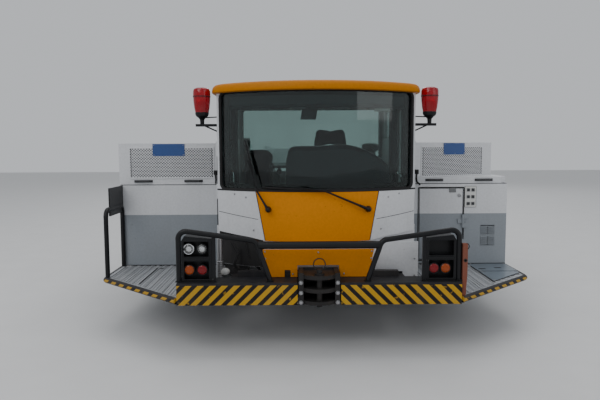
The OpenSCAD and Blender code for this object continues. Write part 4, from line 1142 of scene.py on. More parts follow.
class FitRoof(bpy.types.Operator):
    """Makes the roof with its rounded edge and the seal of its hatch"""
    bl_idname = "tractor.fit_roof"
    bl_label = "Roof"

    def execute(self, context):
        def bend(a, b, c):
            """Spots on a curve from a to c that leans to b."""
            return [((1 - t) ** 2 * a[0] + 2 * t * (1 - t) * b[0] + t * t * c[0],
                     (1 - t) ** 2 * a[1] + 2 * t * (1 - t) * b[1] + t * t * c[1])
                     for t in (0, 0.2, 0.4, 0.6, 0.8, 1)]

        right = [(x, 1505 - sqrt(1280 ** 2 - x * x)) for x in range(20, 741, 40)]
        right += bend((752, 469), (818, 512), (825, 610)) + [(825, d) for d in range(700, 2050, 150)]
        right += bend((825, 2062), (825, 2132), (755, 2132)) + [(600, 2132), (400, 2132), (200, 2132)]
        plan = right + [(0, 2132)] + [(-x, d) for x, d in reversed(right)]
        n = len(plan)
        roof = Shape()
        profile = [(-70, 1932.6), (-8, 1932.6), (-1, 1938), (0, 1948), (-3, 1968), (-10, 1984), (-24, 1996),
                   (-48, 2003),
                   (-110, 2007), (-260, 2009.5)]
        loops = []
        half, middle, half_long = 825, 1180, 953
        for inset, z in profile:
            wide, long = 1 + inset / half, 1 + inset / half_long
            loops.append([roof.bm.verts.new(at(x * wide, middle + (d - middle) * long, z)) for x, d in plan])
        for low, high in zip(loops, loops[1:]):
            for k in range(n):
                roof.bm.faces.new([low[k], low[(k + 1) % n], high[(k + 1) % n], high[k]])
        roof.bm.faces.new(loops[0][::-1])
        roof.bm.faces.new(loops[-1])
        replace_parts(roof.piece("roof_shell", "root", "yellow_paint", "roof paint", 0, 40), "cab_roof")
        hatch = Shape()
        hatch.ring(rounded((-330, 330), (1000, 1600), 50, on_top(2008.5)), strip(14, 1.4))
        hatch.piece("roof_hatch_seal", "root", "dark_plastic", "rubber")
        return {"FINISHED"}


# Side boxes and hoods
class FitHoods(bpy.types.Operator):
    """Puts the perforated grilles, blank plates, handles and latches on the hoods"""
    bl_idname = "tractor.fit_hoods"
    bl_label = "Hood fittings"

    def execute(self, context):
        slant = Vector((850, 450, 0)).normalized()
        columns, pitch, row = 29, 0.0252, 0.0118
        for name, body, start, along, out, plate_u in (
                ("left", "left_hood", at(-1649, BOX_D, 1247), Vector((1, 0, 0)), Vector((0, -1, 0)),
                 (205, 491)),
                ("right", "right_hood", at(900, BOX_D, 1247) + slant * 0.095, slant,
                 Vector((slant.y, -slant.x, 0)),
                 (252, 512))):

            def lift(across, high, off):
                """A point in the grille's own directions: along it, up and outwards."""
                return start + along * across + UP * high + out * off

            # A dark sheet just behind the perforations: painted shade for the dark inside of the hood that
            # shows through the holes.
            back = Shape()
            wide, tall = pitch * (columns + 0.5), 0.26
            back.prism([lift(u, v, 0.0012) for u, v in ((0, 0), (wide, 0), (wide, tall), (0, tall))],
                       out * 0.0006)
            back.piece(f"{name}_grille_back", body, "dark_plastic", "shadow")
            cell = Shape()
            corners = ((-1, -1), (0, -1), (1, -1), (1, 0), (1, 1), (0, 1), (-1, 1), (-1, 0))
            rim = [(pitch / 2 * (1 + a), row / 2 * (1 + b)) for a, b in corners]
            hole = [(pitch / 2 + a * 0.0084 * (0.8 if b else 1), row / 2 + b * 0.0043 * (0.8 if a else 1))
                    for a, b in corners]
            loops = [[cell.bm.verts.new(along * u + UP * v + out * off) for u, v in ring] for ring, off in
                     ((rim, 0.0022), (rim, 0.0034), (hole, 0.0034), (hole, 0.0020))]
            for low, high in zip(loops, loops[1:]):
                for k in range(8):
                    cell.bm.faces.new([low[k], low[(k + 1) % 8], high[(k + 1) % 8], high[k]])
            repeat("rows", f"{name}_grille", body, "white_paint", cell.mesh("cell"), "white paint", sharp=30,
                   Columns=columns, Rows=22, Origin=start, Column_step=along * pitch, Row_step=UP * row,
                   Stagger=0.5)
            frame = Shape()

            def put(u, v):
                """Places a spot in millimetres on the grille."""
                return lift(u / 1000, v / 1000, 0.0015), out

            frame.ring(rounded((-6, 1000 * wide + 6), (-6, 1000 * tall + 6), 6, put), strip(14, 2.6))
            frame.piece(f"{name}_grille_frame", body, "white_paint", "white paint")
            plate = Shape()
            u0, u1 = plate_u
            rows = [[lift(u / 1000, v / 1000, 0.0042) for u in (u0, u0 + 8, u1 - 8, u1)]
                    for v in (192, 200, 291, 299)]
            plate.grid(rows, out * 0.003)
            plate.piece(f"{name}_blank_plate", body, "clear_glass", "blue plate", 0.001)
            fasten(f"{name}_plate_rivets", body, "plain_steel", screw_template(0.004, 0.0025), "plain steel",
                   [(lift(u / 1000, v / 1000, 0.007), out) for u in (u0 + 12, u1 - 12) for v in (203, 288)])

        for name, side, x, spans in (("left", -1, -884, ((-1606, -1460), (-1157, -1011))),
                                     ("right", 1, 925, ((1017, 1159), (1464, 1606)))):
            body = name + "_hood"
            grip = Shape()
            for a, b in spans:
                grip.pipe([(a, BOX_D, 1213), (a + 4, 1152, 1213), (a + 18, 1142, 1213), (b - 18, 1142, 1213),
                           (b - 4, 1152, 1213), (b, BOX_D, 1213)], 0.0075, 10)
                grip.block((a - 10, b + 10), (1165, BOX_D + 0.5), about(1213, 11))
            grip.piece(f"{name}_hood_handles", body, "black_paint", "grained plastic", 0.001)
            latch = Shape()
            latch.pipe([(x + 8, 1160, 1303), (x + 2, 1148, 1286), (x - 4 * side, 1140, 1258),
                        (x - 6 * side, 1140, 1226),
                        (x + 2, 1144, 1196), (x + 22, 1148, 1180), (x + 30, 1156, 1172)], 0.0085, 10)
            latch.block((x - 16, x + 18), (1150, BOX_D + 0.5), (1268, 1308))
            latch.lathe(at(x, 1152, 1290), (0, -1, 0),
                        [(0.016, 0), (0.016, 0.010), (0.010, 0.015), (0, 0.015)], 16)
            latch.piece(f"{name}_hood_latch", body, "dark_plastic", "rubber", 0.002)

        seal = Shape()
        for side in SIDES:
            seal.ring(line((side * 874, HOOD_SEAM_Z), (side * 1746, HOOD_SEAM_Z), on_front(BOX_D + 2)),
                      strip(4, 1),
                      closed=False)
            seal.ring(line((1175, HOOD_SEAM_Z), (2140, HOOD_SEAM_Z), on_side(side * (HALF - 3))), strip(4, 1),
                      closed=False)
        seal.piece("hood_seals", "root", "dark_plastic", "rubber")
        return {"FINISHED"}


class FitBoxes(bpy.types.Operator):
    """Fits the locker's seal, label and lock, the button plate, the louvres and the boxes' foot seals"""
    bl_idname = "tractor.fit_boxes"
    bl_label = "Box fittings"

    def execute(self, context):
        front = on_front(BOX_D)
        seal = Shape()
        seal.ring(rounded((946, 1359), (478, 1145), 8, front), strip(9, 5))
        for x in (873, -873):
            seal.ring(line((x, 450), (x, 1176), front), strip(5, 1.5), closed=False)
        seal.piece("locker_seal", "root", "dark_plastic", "rubber")

        lock = Shape()
        lock.block((1223, 1287), (1165.5, BOX_D + 0.5), (1099, 1144))
        lock.use(1).lathe(at(1318, BOX_D, 1072), (0, -1, 0),
                          [(0.016, -0.001), (0.016, 0.006), (0.012, 0.008), (0.008, 0.008),
                                                           (0.006, 0.004), (0, 0.004)], 20)
        lock.piece("locker_label_and_lock", "locker", "plain_steel", ["dark plate", "plain steel"], 0.001)

        plate = Shape()
        plate.block((1368, 1468), (1164.5, 1169.2), (966, 1154))
        plate.use(1).ring(rounded((1367, 1469), (965, 1155), 5, front), strip(4, 5.5))
        for row in range(3):
            for column in range(2):
                x, z = 1398 + column * 42, 998 + row * 62
                plate.use(1).block(about(x, 15), (1160, 1165), about(z, 15))
                plate.use(2).lathe(at(x, 1160, z), (0, -1, 0),
                                   [(0.011, -0.001), (0.011, 0.005), (0.008, 0.0075), (0, 0.0075)], 16)
        plate.piece("button_plate", "root", "dark_plastic", ["pale plate", "dark plate", "grained plastic"],
                    0.001)

        louvre = Shape()
        louvre.prism([Vector((0, y, z)) for y,
                      z in ((0, 0), (-0.007, -0.003), (-0.0075, -0.006), (0, -0.003))],
                     Vector((0.056, 0, 0)))
        slat = louvre.mesh("louvre")
        for k, low in enumerate((620, 716)):
            repeat("rows", f"louvres_{k}", "root", "white_paint", slat, "two tone paint", Columns=2, Rows=9,
                   Origin=at(1517, BOX_D, low), Column_step=Vector((0.070, 0, 0)), Row_step=UP * 0.0095,
                   Stagger=0.0)

        foot = Shape()
        for side in SIDES:
            foot.ring(line((side * 872, BOX_FOOT_Z), (side * 1748, BOX_FOOT_Z), front), strip(7, 3),
                      closed=False)
            foot.ring(line((1172, BOX_FOOT_Z), (2146, BOX_FOOT_Z), on_side(side * HALF)), strip(7, 2),
                      closed=False)
        foot.piece("box_foot_seals", "root", "dark_plastic", "rubber")
        return {"FINISHED"}


class FitPlatforms(bpy.types.Operator):
    """Makes the platforms' ribs, edges, seams, hatch plates and holes"""
    bl_idname = "tractor.fit_platforms"
    bl_label = "Platform fittings"

    def execute(self, context):
        first_rib, rib_step, seam_x, outer_x, corner_x = 830, 25, 1400, 1740, 1005
        for name, side, end in (("left", -1, outer_x), ("right", 1, seam_x)):
            treads = Shape()
            for x in range(first_rib, end, rib_step):
                if abs(x - seam_x) < 10:
                    continue
                start = max(24, (x - 1016) * 702 / 734 + 42) if x > corner_x else 624
                treads.ring(line((side * x, start), (side * x, 1164), on_top(PLATFORM_Z), 400),
                            half_round(3.2, 4),
                            closed=False)
            treads.piece("rib_treads_" + name, "root", "ribbed_aluminium", "ribbed aluminium")

        edge = Shape()
        for side in SIDES:
            edge.pipe([(side * x, d, 421) for x, d in
                       ((1022, 14), (1030, 22), (1730, 684), (1742, 700), (1746, 724), (1746, 1160))], 0.0235,
                       14)
        edge.piece("platform_edges", "root", "ribbed_aluminium", "striped edge")

        trim = Shape()
        for side in SIDES:
            trim.ring(line((side * seam_x, 452), (side * seam_x, 1055), on_top(446)), strip(9, 1.2),
                      closed=False)
        trim.ring(line((1408, 460), (1740, 775), on_top(446)), strip(7, 1.5), closed=False)
        trim.ring(line((1408, 836), (1742, 836), on_top(447)), strip(5, 1.0), closed=False)
        # The three dark ovals are painted shade that stands for holes in the platform.
        for x, d, rx, ry in ((1462, 932, 34, 12), (1611, 970, 34, 12), (-1356, 1024, 18, 9)):
            trim.prism([at(x + rx * u, d + ry * v, 445.5) for u, v in circle(1, 20)], UP * 0.0028)
        trim.piece("platform_seams", "root", "dark_plastic", "shadow")

        hatch = Shape()
        for outline in (((1408, 830), (1408, 474), (1724, 776), (1736, 830)),
                        ((1408, 842), (1740, 842), (1740, 1160), (1408, 1160))):
            hatch.prism([at(x, d, PLATFORM_Z) for x, d in outline], UP * 0.003)
        hatch.piece("hatch_plates", "root", "plain_steel", "hatch grey", 0.001)
        deck = on_top(PLATFORM_Z + 3)
        fasten("hatch_screws", "root", "plain_steel", screw_template(0.008, 0.003), "plain steel",
               [deck(x, d) for x, d in ((1424, 500), (1424, 812), (1722, 812), (1424, 860), (1722, 860),
                                        (1424, 1142),
                                        (1722, 1142))])
        return {"FINISHED"}


# Front
class FitFront(bpy.types.Operator):
    """Adds the bolts of the hitches, the guard's feet, the post's ring, a sheet of painted shade in the open
    corner and the parts that show there
    """
    bl_idname = "tractor.fit_front"
    bl_label = "Front fittings"

    def execute(self, context):
        spots = []
        for way, d in ((-1, -4), (1, 8484)):
            spots += [(at(side * 131, d, z), Vector((0, way, 0))) for side in SIDES for z in (552, 479, 410)]
        fasten("hitch_bolts", "root", "plain_steel", bolt_template(0.011, 0.010), "plain steel", spots)
        foot = Shape()
        for side in SIDES:
            for x in (1006, 352):
                foot.block(about(side * x, 24), (38, 82), (549.5, 558))
            foot.block(about(side * 754, 18), (44, 76), (549.5, 556))
        foot.piece("guard_feet", "root", "black_paint", "black paint", 0.002)
        post = Shape()
        post.pipe([(1058 + 14 * u, 40, 800 + 20 * v) for u, v in circle(1, 20)], 0.0035, 8, closed=True)
        post.lathe(at(1045, 32, 700), (0, -1, 0),
                   [(0.012, 0), (0.012, 0.004), (0.007, 0.006), (0.0055, 0.002)], 16)
        post.piece("post_ring", "root", "rusty_steel", "cast black")

        # A dark sheet over the white cab frame in the open corner: painted shade for the dark inside of the
        # corner.
        painted_shade_sheet = Shape()
        painted_shade_sheet.grid([[at(x, bow_d(x, 14) - 1, z) for x in range(-775, -379, 36)] for z in (593, 700, 852)],
                   Vector((0, -0.002, 0)))
        painted_shade_sheet.piece("open_corner_liner", "root", "dark_plastic", "shadow")
        corner = Shape()
        pipe_x, pipe_d = -746, 330
        corner.cylinder(at(pipe_x, pipe_d, 560), at(pipe_x, pipe_d, 820), 0.021, 20)
        for z in range(525, 640, 14):
            corner.lathe(at(pipe_x, pipe_d, z), UP,
                         [(0.024, 0), (0.029, 0.004), (0.029, 0.010), (0.024, 0.014)], 20)
        corner.use(1).pipe([(-660, 360, 790), (-610, 350, 700), (-640, 345, 620), (-600, 360, 560),
                            (-520, 420, 540)],
                           0.013, 10)
        corner.pipe([(-560, 420, 800), (-540, 400, 690), (-480, 410, 600), (-440, 450, 540)], 0.010, 10)
        corner.block((-600, -430), (430, 560), (600, 720))
        corner.use(2).ball(at(-712, 322, 568), 0.032, (1.3, 0.8, 0.9), 8)
        corner.piece("open_corner_parts", "root", "plain_steel", ["plain steel", "rubber", "pale plate"],
                     0.001)
        return {"FINISHED"}


# Cab inside
PAD_VOXEL = 0.009
PAD_MOVE = 0.024
PAD_PRESSURE = 4
PAD_FRAMES = 20


def pad(low, high, corner, taper):
    """A block with rounded edges and fine faces, ready to be blown up."""
    shape = Shape()
    shape.box(low, high)
    middle = (low.x + high.x) / 2
    for vert in shape.bm.verts:
        if vert.co.z > (low.z + high.z) / 2:
            vert.co.x = middle + (vert.co.x - middle) * taper
    upper = [e for e in shape.bm.edges if abs((e.verts[0].co - e.verts[1].co).y) > 0.01
             and e.verts[0].co.z > (low.z + high.z) / 2]
    bmesh.ops.bevel(shape.bm, geom=upper, offset=corner, segments=6, profile=0.5, affect="EDGES")
    bmesh.ops.bevel(shape.bm, geom=[e for e in shape.bm.edges if e.calc_face_angle(0) > 1], offset=0.02,
                    segments=3,
                    profile=0.6, affect="EDGES")
    obj = bpy.data.objects.new("pad", shape.mesh("pad"))
    bpy.context.scene.collection.objects.link(obj)
    remesh = obj.modifiers.new("Even faces", "REMESH")
    remesh.mode = "VOXEL"
    remesh.voxel_size = PAD_VOXEL
    deps = bpy.context.evaluated_depsgraph_get()
    even = bpy.data.meshes.new_from_object(obj.evaluated_get(deps), depsgraph=deps)
    bpy.data.objects.remove(obj)
    return even


def blow_up(pads, cap):
    """Fills the pads with air by cloth simulation, and stops each point at a largest move."""
    scene = bpy.context.scene
    for obj in pads:
        cloth = obj.modifiers.new("Fill", "CLOTH").settings
        cloth.use_pressure = True
        cloth.uniform_pressure_force = PAD_PRESSURE
        cloth.effector_weights.gravity = 0
    for frame_number in range(1, PAD_FRAMES + 1):
        scene.frame_set(frame_number)
    deps = bpy.context.evaluated_depsgraph_get()
    for obj in pads:
        blown = [v.co.copy() for v in obj.evaluated_get(deps).data.vertices]
        for v, target in zip(obj.data.vertices, blown):
            move = target - v.co
            v.co += move * min(1.0, cap / max(move.length, 1e-9))
        obj.modifiers.clear()
    scene.frame_set(1)


class FitSeats(bpy.types.Operator):
    """Makes the padded seats with their headrest and pedestals"""
    bl_idname = "tractor.fit_seats"
    bl_label = "Seats"

    def execute(self, context):
        parts = []
        for name, x, half_back, top in (("driver", 180, 238, 1531), ("passenger", -530, 163, 1508)):
            parts.append((name + "_cushion", about(x, 180), (1175, 1580), (885, 958), 0.02, 1))
            parts.append((name + "_back", about(x, half_back), (1622, 1694), (925, top), 0.09, 0.94))
        parts.append(("driver_headrest", (10, 344), (1634, 1690), (1518, 1690), 0.045, 0.86))
        pads = []
        for name, x, d, z, corner, taper in parts:
            obj = bpy.data.objects.new(name, pad(at(x[0], d[0], z[0]), at(x[1], d[1], z[1]), corner, taper))
            context.scene.collection.objects.link(obj)
            pads.append(obj)
        blow_up(pads, PAD_MOVE)
        for obj in pads:
            obj.data.materials.append(MATS["seat cloth"])
            obj.data.shade_smooth()
            soft = obj.modifiers.new("Smooth", "SUBSURF")
            soft.levels = soft.render_levels = 1
            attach(obj, "root")
            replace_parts(obj, "seats")
        frame_parts = Shape()
        for x in (170, -520):
            for half, d, z in ((120, (1250, 1520), (632, 700)), (90, (1275, 1490), (700, 800)),
                               (175, (1180, 1590), (835, 862))):
                frame_parts.block(about(x, half), d, z)
            for side in SIDES:
                for low_d, high_d in ((1250, 1500), (1500, 1250)):
                    frame_parts.cylinder(at(x + side * 100, low_d, 720), at(x - side * 100, high_d, 835),
                                         0.012, 10)
                frame_parts.block(about(x + side * 185, 8), (1560, 1640), (850, 985))
        for x in (110, 230):
            frame_parts.cylinder(at(x, 1658, 1515), at(x, 1658, 1580), 0.007, 10)
        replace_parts(frame_parts.piece("seat_frames", "root", "black_paint", "black paint", 0.006), "seats")
        return {"FINISHED"}


class FitConsole(bpy.types.Operator):
    """Makes the dashboard, its hooded console and the steering wheel"""
    bl_idname = "tractor.fit_console"
    bl_label = "Console"

    def execute(self, context):
        console = Shape()
        outline = [(-245, 1150), (-245, 1290), (-238, 1420), (-222, 1486), (-196, 1514), (-150, 1521),
                   (-60, 1521),
                   (20, 1522), (110, 1527), (200, 1533), (260, 1530), (330, 1514), (400, 1490), (470, 1456),
                   (530, 1414), (575, 1368), (588, 1330), (592, 1290), (592, 1150)]
        crown = [(602, 0.0, -40), (598, 0.55, 0), (603, 0.90, 0), (625, 0.985, 0), (668, 1.0, 0),
                 (730, 0.99, 0),
                 (778, 0.93, 0), (797, 0.75, 0), (799, 0.0, -40)]
        rows = [[at(x, d, 1150 + (top - 1150) * share + drop) for x, top in outline] for d, share,
                drop in crown]
        console.grid(rows)
        for edge in (0, -1):
            console.bm.faces.new([console.bm.verts.new(row[edge]) for row in rows])
        console.block((-478, 558), (494, 636), (634, 1120))
        console.block((-470, 550), (500, 780), (1085, 1148))
        console.block((-60, 400), (640, 700), (640, 1090))
        body = console.piece("console", "root", "dark_plastic", "console vinyl", 0.012, 50)
        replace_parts(body, "dashboard")

        dials = Shape()
        for x, z, r in ((60, 1290, 42), (170, 1310, 55), (280, 1290, 42), (-60, 1250, 26), (400, 1250, 26)):
            face = at(x, 799, z)
            dials.use(0).lathe(face, (0, 1, 0),
                               [(r / 1000 + 0.006, -0.002), (r / 1000 + 0.006, 0.008), (r / 1000, 0.010),
                                                 (r / 1000, 0.003), (0, 0.003)], 28)
            dials.use(1).cylinder(face + Vector((0, 0.0045, 0)), face + Vector((r / 1500, 0.0045, r / 1600)),
                                  0.0015, 6)
        dials.use(1)
        for k in range(6):
            dials.block((-230 + k * 28, -212 + k * 28), (797, 803), (1180, 1200))
        for x, h in ((-360, 210), (-300, 170)):
            dials.use(0).cylinder(at(x, 700, 1140), at(x, 740, 1140 + h), 0.007, 10)
            dials.ball(at(x, 740, 1145 + h), 0.022, (1, 1, 1.2), 8)
        dials.piece("dials_and_levers", "root", "dark_plastic", ["grained plastic", "pale plate"], 0.001)

        wheel = Shape()
        centre = at(170, 890, 1180)
        turn = Matrix.Rotation(radians(-55), 3, "X")
        wheel.tube([centre + turn @ Vector((u, v, 0)) for u, v in circle(0.2, 9)], 0.0135, closed=True)
        axis = turn @ UP
        wheel.lathe(centre, axis, [(0.030, -0.140), (0.034, -0.030), (0.060, -0.014), (0.062, 0.004),
                                   (0.050, 0.012), (0, 0.014)], 24)
        for a in (90, 210, 330):
            arm = turn @ Vector((cos(radians(a)), sin(radians(a)), 0))
            wheel.cylinder(centre + arm * 0.05 - axis * 0.006, centre + arm * 0.195, 0.011, 10, 0.009)
        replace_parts(wheel.piece("steering_wheel", "root", "dark_plastic", "grained plastic"), "dashboard")

        fittings = Shape()
        fittings.prism([at(-126, 440, 1722), at(-8, 440, 1722), at(8, 440, 1806), at(-112, 440, 1806)],
                       Vector((0, 0.014, 0)))
        fittings.cylinder(at(-58, 500, 1830), at(-58, 452, 1780), 0.008, 10)
        fittings.use(1).block((446, 566), (470, 500), (1784, 1806))
        fittings.use(2).pipe([(632, 560, 1300), (640, 548, 1304), (668, 546, 1286), (694, 548, 1240),
                              (698, 556, 1214)],
                             0.009, 10)
        fittings.pipe([(-690, 640, 1330), (-668, 630, 1310), (-664, 628, 1230), (-690, 640, 1212)], 0.009, 10)
        fittings.piece("cab_fittings", "root", "dark_plastic", ["grained plastic", "pale plate", "chrome"],
                       0.006)
        return {"FINISHED"}


class FitDoors(bpy.types.Operator):
    """Fits the cab doors' window rubber, handles and panel pressings"""
    bl_idname = "tractor.fit_doors"
    bl_label = "Door fittings"

    def execute(self, context):
        for name, side in (("left_door", -1), ("right_door", 1)):
            face = on_side(side * CAB_HALF)
            rubber = Shape()
            rubber.ring(rounded((714, 1096), (1094, 1826), 34, face), strip(26, 7))
            rubber.piece(name + "_rubber", name, "dark_plastic", "rubber")
            press = Shape()
            press.ring(rounded((700, 1104), (712, 1036), 26, face), strip(10, 3))
            press.piece(name + "_pressing", name, "white_paint", "white paint")
            handle = Shape()
            handle.block(sorted((side * 784.5, side * 789)), (1010, 1112), about(1063, 17))
            handle.use(1).pipe([(side * x, d, 1063) for x, d in
                                ((789, 1022), (806, 1026), (812, 1040), (812, 1084), (806, 1098),
                                 (789, 1102))], 0.007, 10)
            handle.lathe(at(side * 789, 1062, 1040), (side, 0, 0),
                         [(0.010, -0.004), (0.010, 0.003), (0.004, 0.004), (0, 0.002)], 16)
            handle.piece(name + "_handle", name, "black_paint", ["grained plastic", "chrome"], 0.0015)
        return {"FINISHED"}


# Sides, deck and tail
class FitSides(bpy.types.Operator):
    """Fits doors, handles, hinges and reflectors on the long sides"""
    bl_idname = "tractor.fit_sides"
    bl_label = "Side fittings"

    def execute(self, context):
        outlines, catches, marks = Shape(), Shape(), Shape()
        hinge_spots = []
        for side in SIDES:
            face = on_side(side * HALF)
            for d, z in (((1240, 2080), (500, 1120)), ((4470, 5180), (640, 1080)),
                         ((5250, 5990), (640, 1080))):
                outlines.ring(rounded(d, z, 16, face), strip(7, 1.6))
                hinge_spots += [face(d[0] + 12, z[0] + 60), face(d[0] + 12, z[1] - 60)]
                mid, catch_d = (z[0] + z[1]) / 2, d[1] - 53
                catches.use(0).block(sorted((side * 1749, side * 1753)), about(catch_d, 17), about(mid, 46))
                catches.use(1).pipe([(side * x, catch_d, mid + z) for x, z in
                                     ((1753, -30), (1762, -24), (1762, 24), (1753, 30))], 0.005, 8)
            for d0, d1 in ((3730, 6070), (7625, 8385)):
                outlines.ring(line((d0, 462), (d1, 462), face), strip(26, 7), closed=False)
            for d in (1205, 3760, 6030, 8350):
                marks.block(sorted((side * 1749.5, side * 1754)), about(d, 14), (1140, 1240)
                            if d > 1205 else (1010, 1090))
            for d in (3900, 8000):
                marks.use(1).lathe(at(side * HALF, d, 560), (side, 0, 0),
                                   [(0.030, -0.001), (0.030, 0.004), (0.024, 0.007),
                                                                      (0, 0.008)], 20)
                marks.use(0)
        outlines.piece("side_outlines", "root", "dark_plastic", "rubber")
        catches.piece("side_catches", "root", "plain_steel", ["black paint", "plain steel"], 0.001)
        marks.piece("side_reflectors", "root", "red_lens", ["orange lens", "plain steel"], 0.001)
        fasten("side_screws", "root", "plain_steel", bolt_template(0.008, 0.006), "plain steel", hinge_spots)
        return {"FINISHED"}


class FitDeck(bpy.types.Operator):
    """Fits the deck's seams, lifting eyes, rails and the cowl's handles and exhaust outlet"""
    bl_idname = "tractor.fit_deck"
    bl_label = "Deck fittings"

    def execute(self, context):
        seams = Shape()
        top = on_top(DECK_Z)
        joints = (2700, 3360, 5360, 6500, 7500)
        for d in joints:
            seams.ring(line((-1746, d), (1746, d), top, 400), strip(8, 1.2), closed=False)
        for side in SIDES:
            seams.ring(line((side * 1120, 2200), (side * 1120, 8340), top, 400), strip(8, 1.2), closed=False)
        seams.piece("deck_seams", "root", "dark_plastic", "shadow")
        spots = [top(side * x, d) for side in SIDES for x in (1090, 1150, 1710)
                 for d in range(2240, 8300, 330) if min(abs(d - e) for e in joints) > 24]
        fasten("deck_screws", "root", "plain_steel", screw_template(0.010, 0.004), "plain steel", spots)

        eyes = Shape()
        for side in SIDES:
            for d in (2300, 8200):
                eyes.block(about(side * 900, 50), about(d, 50), (DECK_Z - 0.5, 1330))
                eyes.pipe([(side * 900 + u, d, 1352 + v) for u, v in circle(30, 20)], 0.009, 10, closed=True)
            eyes.pipe([(side * 1700, d, z) for d,
                       z in ((7700, 1318), (7700, 1540), (7730, 1585), (7780, 1600),
                                                        (8220, 1600), (8270, 1585), (8300, 1540),
                                                        (8300, 1318))], 0.017)
            for d in (7700, 8300):
                eyes.block(about(side * 1700, 36), about(d, 36), (DECK_Z - 0.5, 1328))
        eyes.piece("deck_eyes_and_rails", "root", "black_paint", "black paint", 0.002)

        for name, side in (("left_lid", -1), ("right_lid", 1)):
            grip = Shape()
            for d in (3900, 4800):
                grip.pipe([(side * 570, d + off, z) for off,
                           z in ((-60, 1502), (-52, 1524), (-40, 1530), (40, 1530),
                                                                   (52, 1524), (60, 1502))], 0.008, 10)
            grip.piece(name + "_handles", name, "black_paint", "black paint")
            rim = Shape()
            rim.ring(rounded(sorted((side * 60, side * 570)), (3520, 5180), 40, on_top(1502)), strip(16, 4))
            rim.piece(name + "_pressing", name, "white_paint", "white paint")

        stack_x, stack_d, stack_z = 820, 3560, DECK_Z - 1
        pipe = Shape()
        pipe.lathe(at(-stack_x, stack_d, stack_z), UP,
                   [(0.085, 0), (0.085, 0.012), (0.056, 0.014), (0.056, 0.20), (0.060, 0.21),
                                                     (0.060, 0.30), (0.052, 0.30), (0.050, 0.02), (0, 0.02)],
                                                     28)
        pipe.block(about(-stack_x, 60), (3500, 3506), (1612, 1624))
        pipe.prism([at(-880, 3500, 1622), at(-760, 3500, 1622), at(-766, 3626, 1640), at(-874, 3626, 1640)],
                   Vector((0, 0, 0.004)))
        pipe.lathe(at(stack_x, stack_d, stack_z), UP,
                   [(0.10, 0), (0.10, 0.03), (0.07, 0.04), (0.07, 0.14), (0.11, 0.16), (0.11, 0.22),
                                                    (0.095, 0.24), (0, 0.25)], 32)
        pipe.piece("exhaust_and_intake", "root", "black_paint", "cast black", 0.001)

        tail = Shape()
        tail.block((-260, 260), (8401, 8406), (1180, 1290))
        tail.use(1).block((-240, 240), (8405, 8409), (1190, 1280))
        tail.piece("tail_plate", "root", "plain_steel", ["black paint", "pale plate"], 0.0015)
        tail_face = on_front(TAIL_D, 1)
        boxes = Shape()
        for side in SIDES:
            boxes.ring(rounded(sorted((side * 720, side * 1700)), (640, 980), 20, tail_face), strip(8, 2))
            boxes.ring(rounded(sorted((side * 1130, side * 1340)), (1005, 1115), 18, tail_face), strip(10, 8))
        boxes.piece("tail_outlines", "root", "dark_plastic", "rubber")
        return {"FINISHED"}


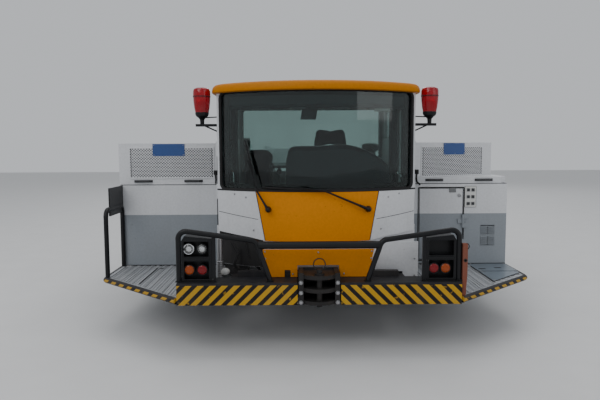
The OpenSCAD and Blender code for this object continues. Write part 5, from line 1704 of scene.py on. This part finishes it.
class FitWheels(bpy.types.Operator):
    """Makes the tread lugs, sidewall rings, wheel nuts and hub caps"""
    bl_idname = "tractor.fit_wheels"
    bl_label = "Wheels"

    def execute(self, context):
        s = context.scene.tractor_wheels
        lug = Shape()
        section = ((122, 606), (126, 617), (140, 616), (164, 590), (174, 558), (170, 540), (150, 560))
        lug_width = 0.042
        for side in SIDES:
            outline = [Vector((side * x / 1000, r / 1000, -lug_width / 2)) for x, r in section]
            lug.prism(outline, UP * lug_width)
        lug_mesh = lug.mesh("lug")
        for key, (side, d) in WHEELS.items():
            body = "wheel_" + key
            centre = at(side * WHEEL_X, d, AXLE_Z)
            repeat("ring", f"tread_{key}", body, "tyre_rubber", lug_mesh, "tyre rubber", Count=s.lugs,
                   Radius=0.0,
                   Start=0.0, Centre=centre)
            nut_shape = Shape()
            nut_shape.lathe(Vector((side * 0.058, 0, 0)), (side, 0, 0),
                            [(0.020, -0.004), (0.020, 0.004), (0.0155, 0.005),
                                                                       (0.0155, 0.024), (0.012, 0.028),
                                                                       (0.008, 0.040),
                                                                       (0, 0.042)], 6)
            repeat("ring", f"nuts_{key}", body, "plain_steel", nut_shape.mesh("nut"), "plain steel",
                   Count=s.nuts, Radius=0.175, Start=0.1, Centre=centre)
            cap = Shape()
            cap.lathe(centre, (side, 0, 0),
                      [(0.088, 0.108), (0.088, 0.116), (0.070, 0.120), (0.062, 0.122), (0.060, 0.150),
                                             (0.048, 0.158), (0.020, 0.160), (0.016, 0.166), (0, 0.167)], 32)
            cap.lathe(centre, (side, 0, 0), [(0.248, 0.070), (0.244, 0.080), (0.236, 0.080), (0.232, 0.066)],
                      64)
            cap.piece(f"hub_cap_{key}", body, "rim_paint", "rim paint")
            walls = Shape()
            for r, x in ((0.555, 0.1745), (0.470, 0.1745), (0.430, 0.1745), (0.345, 0.155)):
                for way in (-1, 1):
                    walls.lathe(centre, (way, 0, 0),
                                [(r + 0.006, x - 0.003), (r + 0.003, x + 0.003), (r - 0.003, x + 0.003),
                                                      (r - 0.006, x - 0.003)], 72)
            walls.piece(f"sidewall_{key}", body, "tyre_rubber", "tyre rubber")
        return {"FINISHED"}


OPERATORS = [SetStage, PaintFrame, FitScreen, JoinPanels, FitWipers, FitBeacons, FitLamps, FitRoof, FitHoods,
             FitBoxes,
             FitPlatforms, FitFront, FitSeats, FitConsole, FitDoors, FitSides, FitDeck, FitWheels]


class TractorPanel(bpy.types.Panel):
    """Lists the tractor's settings and operators"""
    bl_idname = "VIEW3D_PT_tractor"
    bl_label = "Pushback tractor"
    bl_space_type = "VIEW_3D"
    bl_region_type = "UI"
    bl_category = "Tractor"

    def draw(self, context):
        for settings in (context.scene.tractor_finish, context.scene.tractor_stage,
                         context.scene.tractor_wheels):
            for name in settings.bl_rna.properties.keys():
                if name not in ("rna_type", "name"):
                    self.layout.prop(settings, name)
        for operator in OPERATORS:
            self.layout.operator(operator.bl_idname)


SETTINGS = {"tractor_finish": FinishSettings, "tractor_stage": StageSettings, "tractor_wheels": WheelSettings}


def register():
    """Registers the classes and gives the scene its settings."""
    for cls in (*SETTINGS.values(), *OPERATORS, TractorPanel):
        bpy.utils.register_class(cls)
    for name, cls in SETTINGS.items():
        setattr(bpy.types.Scene, name, PointerProperty(type=cls))


def unregister():
    """Takes the settings and the classes away again."""
    for name in SETTINGS:
        delattr(bpy.types.Scene, name)
    for cls in (TractorPanel, *reversed(OPERATORS), *reversed(SETTINGS.values())):
        bpy.utils.unregister_class(cls)


def main():
    """Registers the classes and runs every operator to build the tractor."""
    register()
    for operator in OPERATORS:
        group, name = operator.bl_idname.split(".")
        getattr(getattr(bpy.ops, group), name)()


if __name__ == "__main__":
    main()
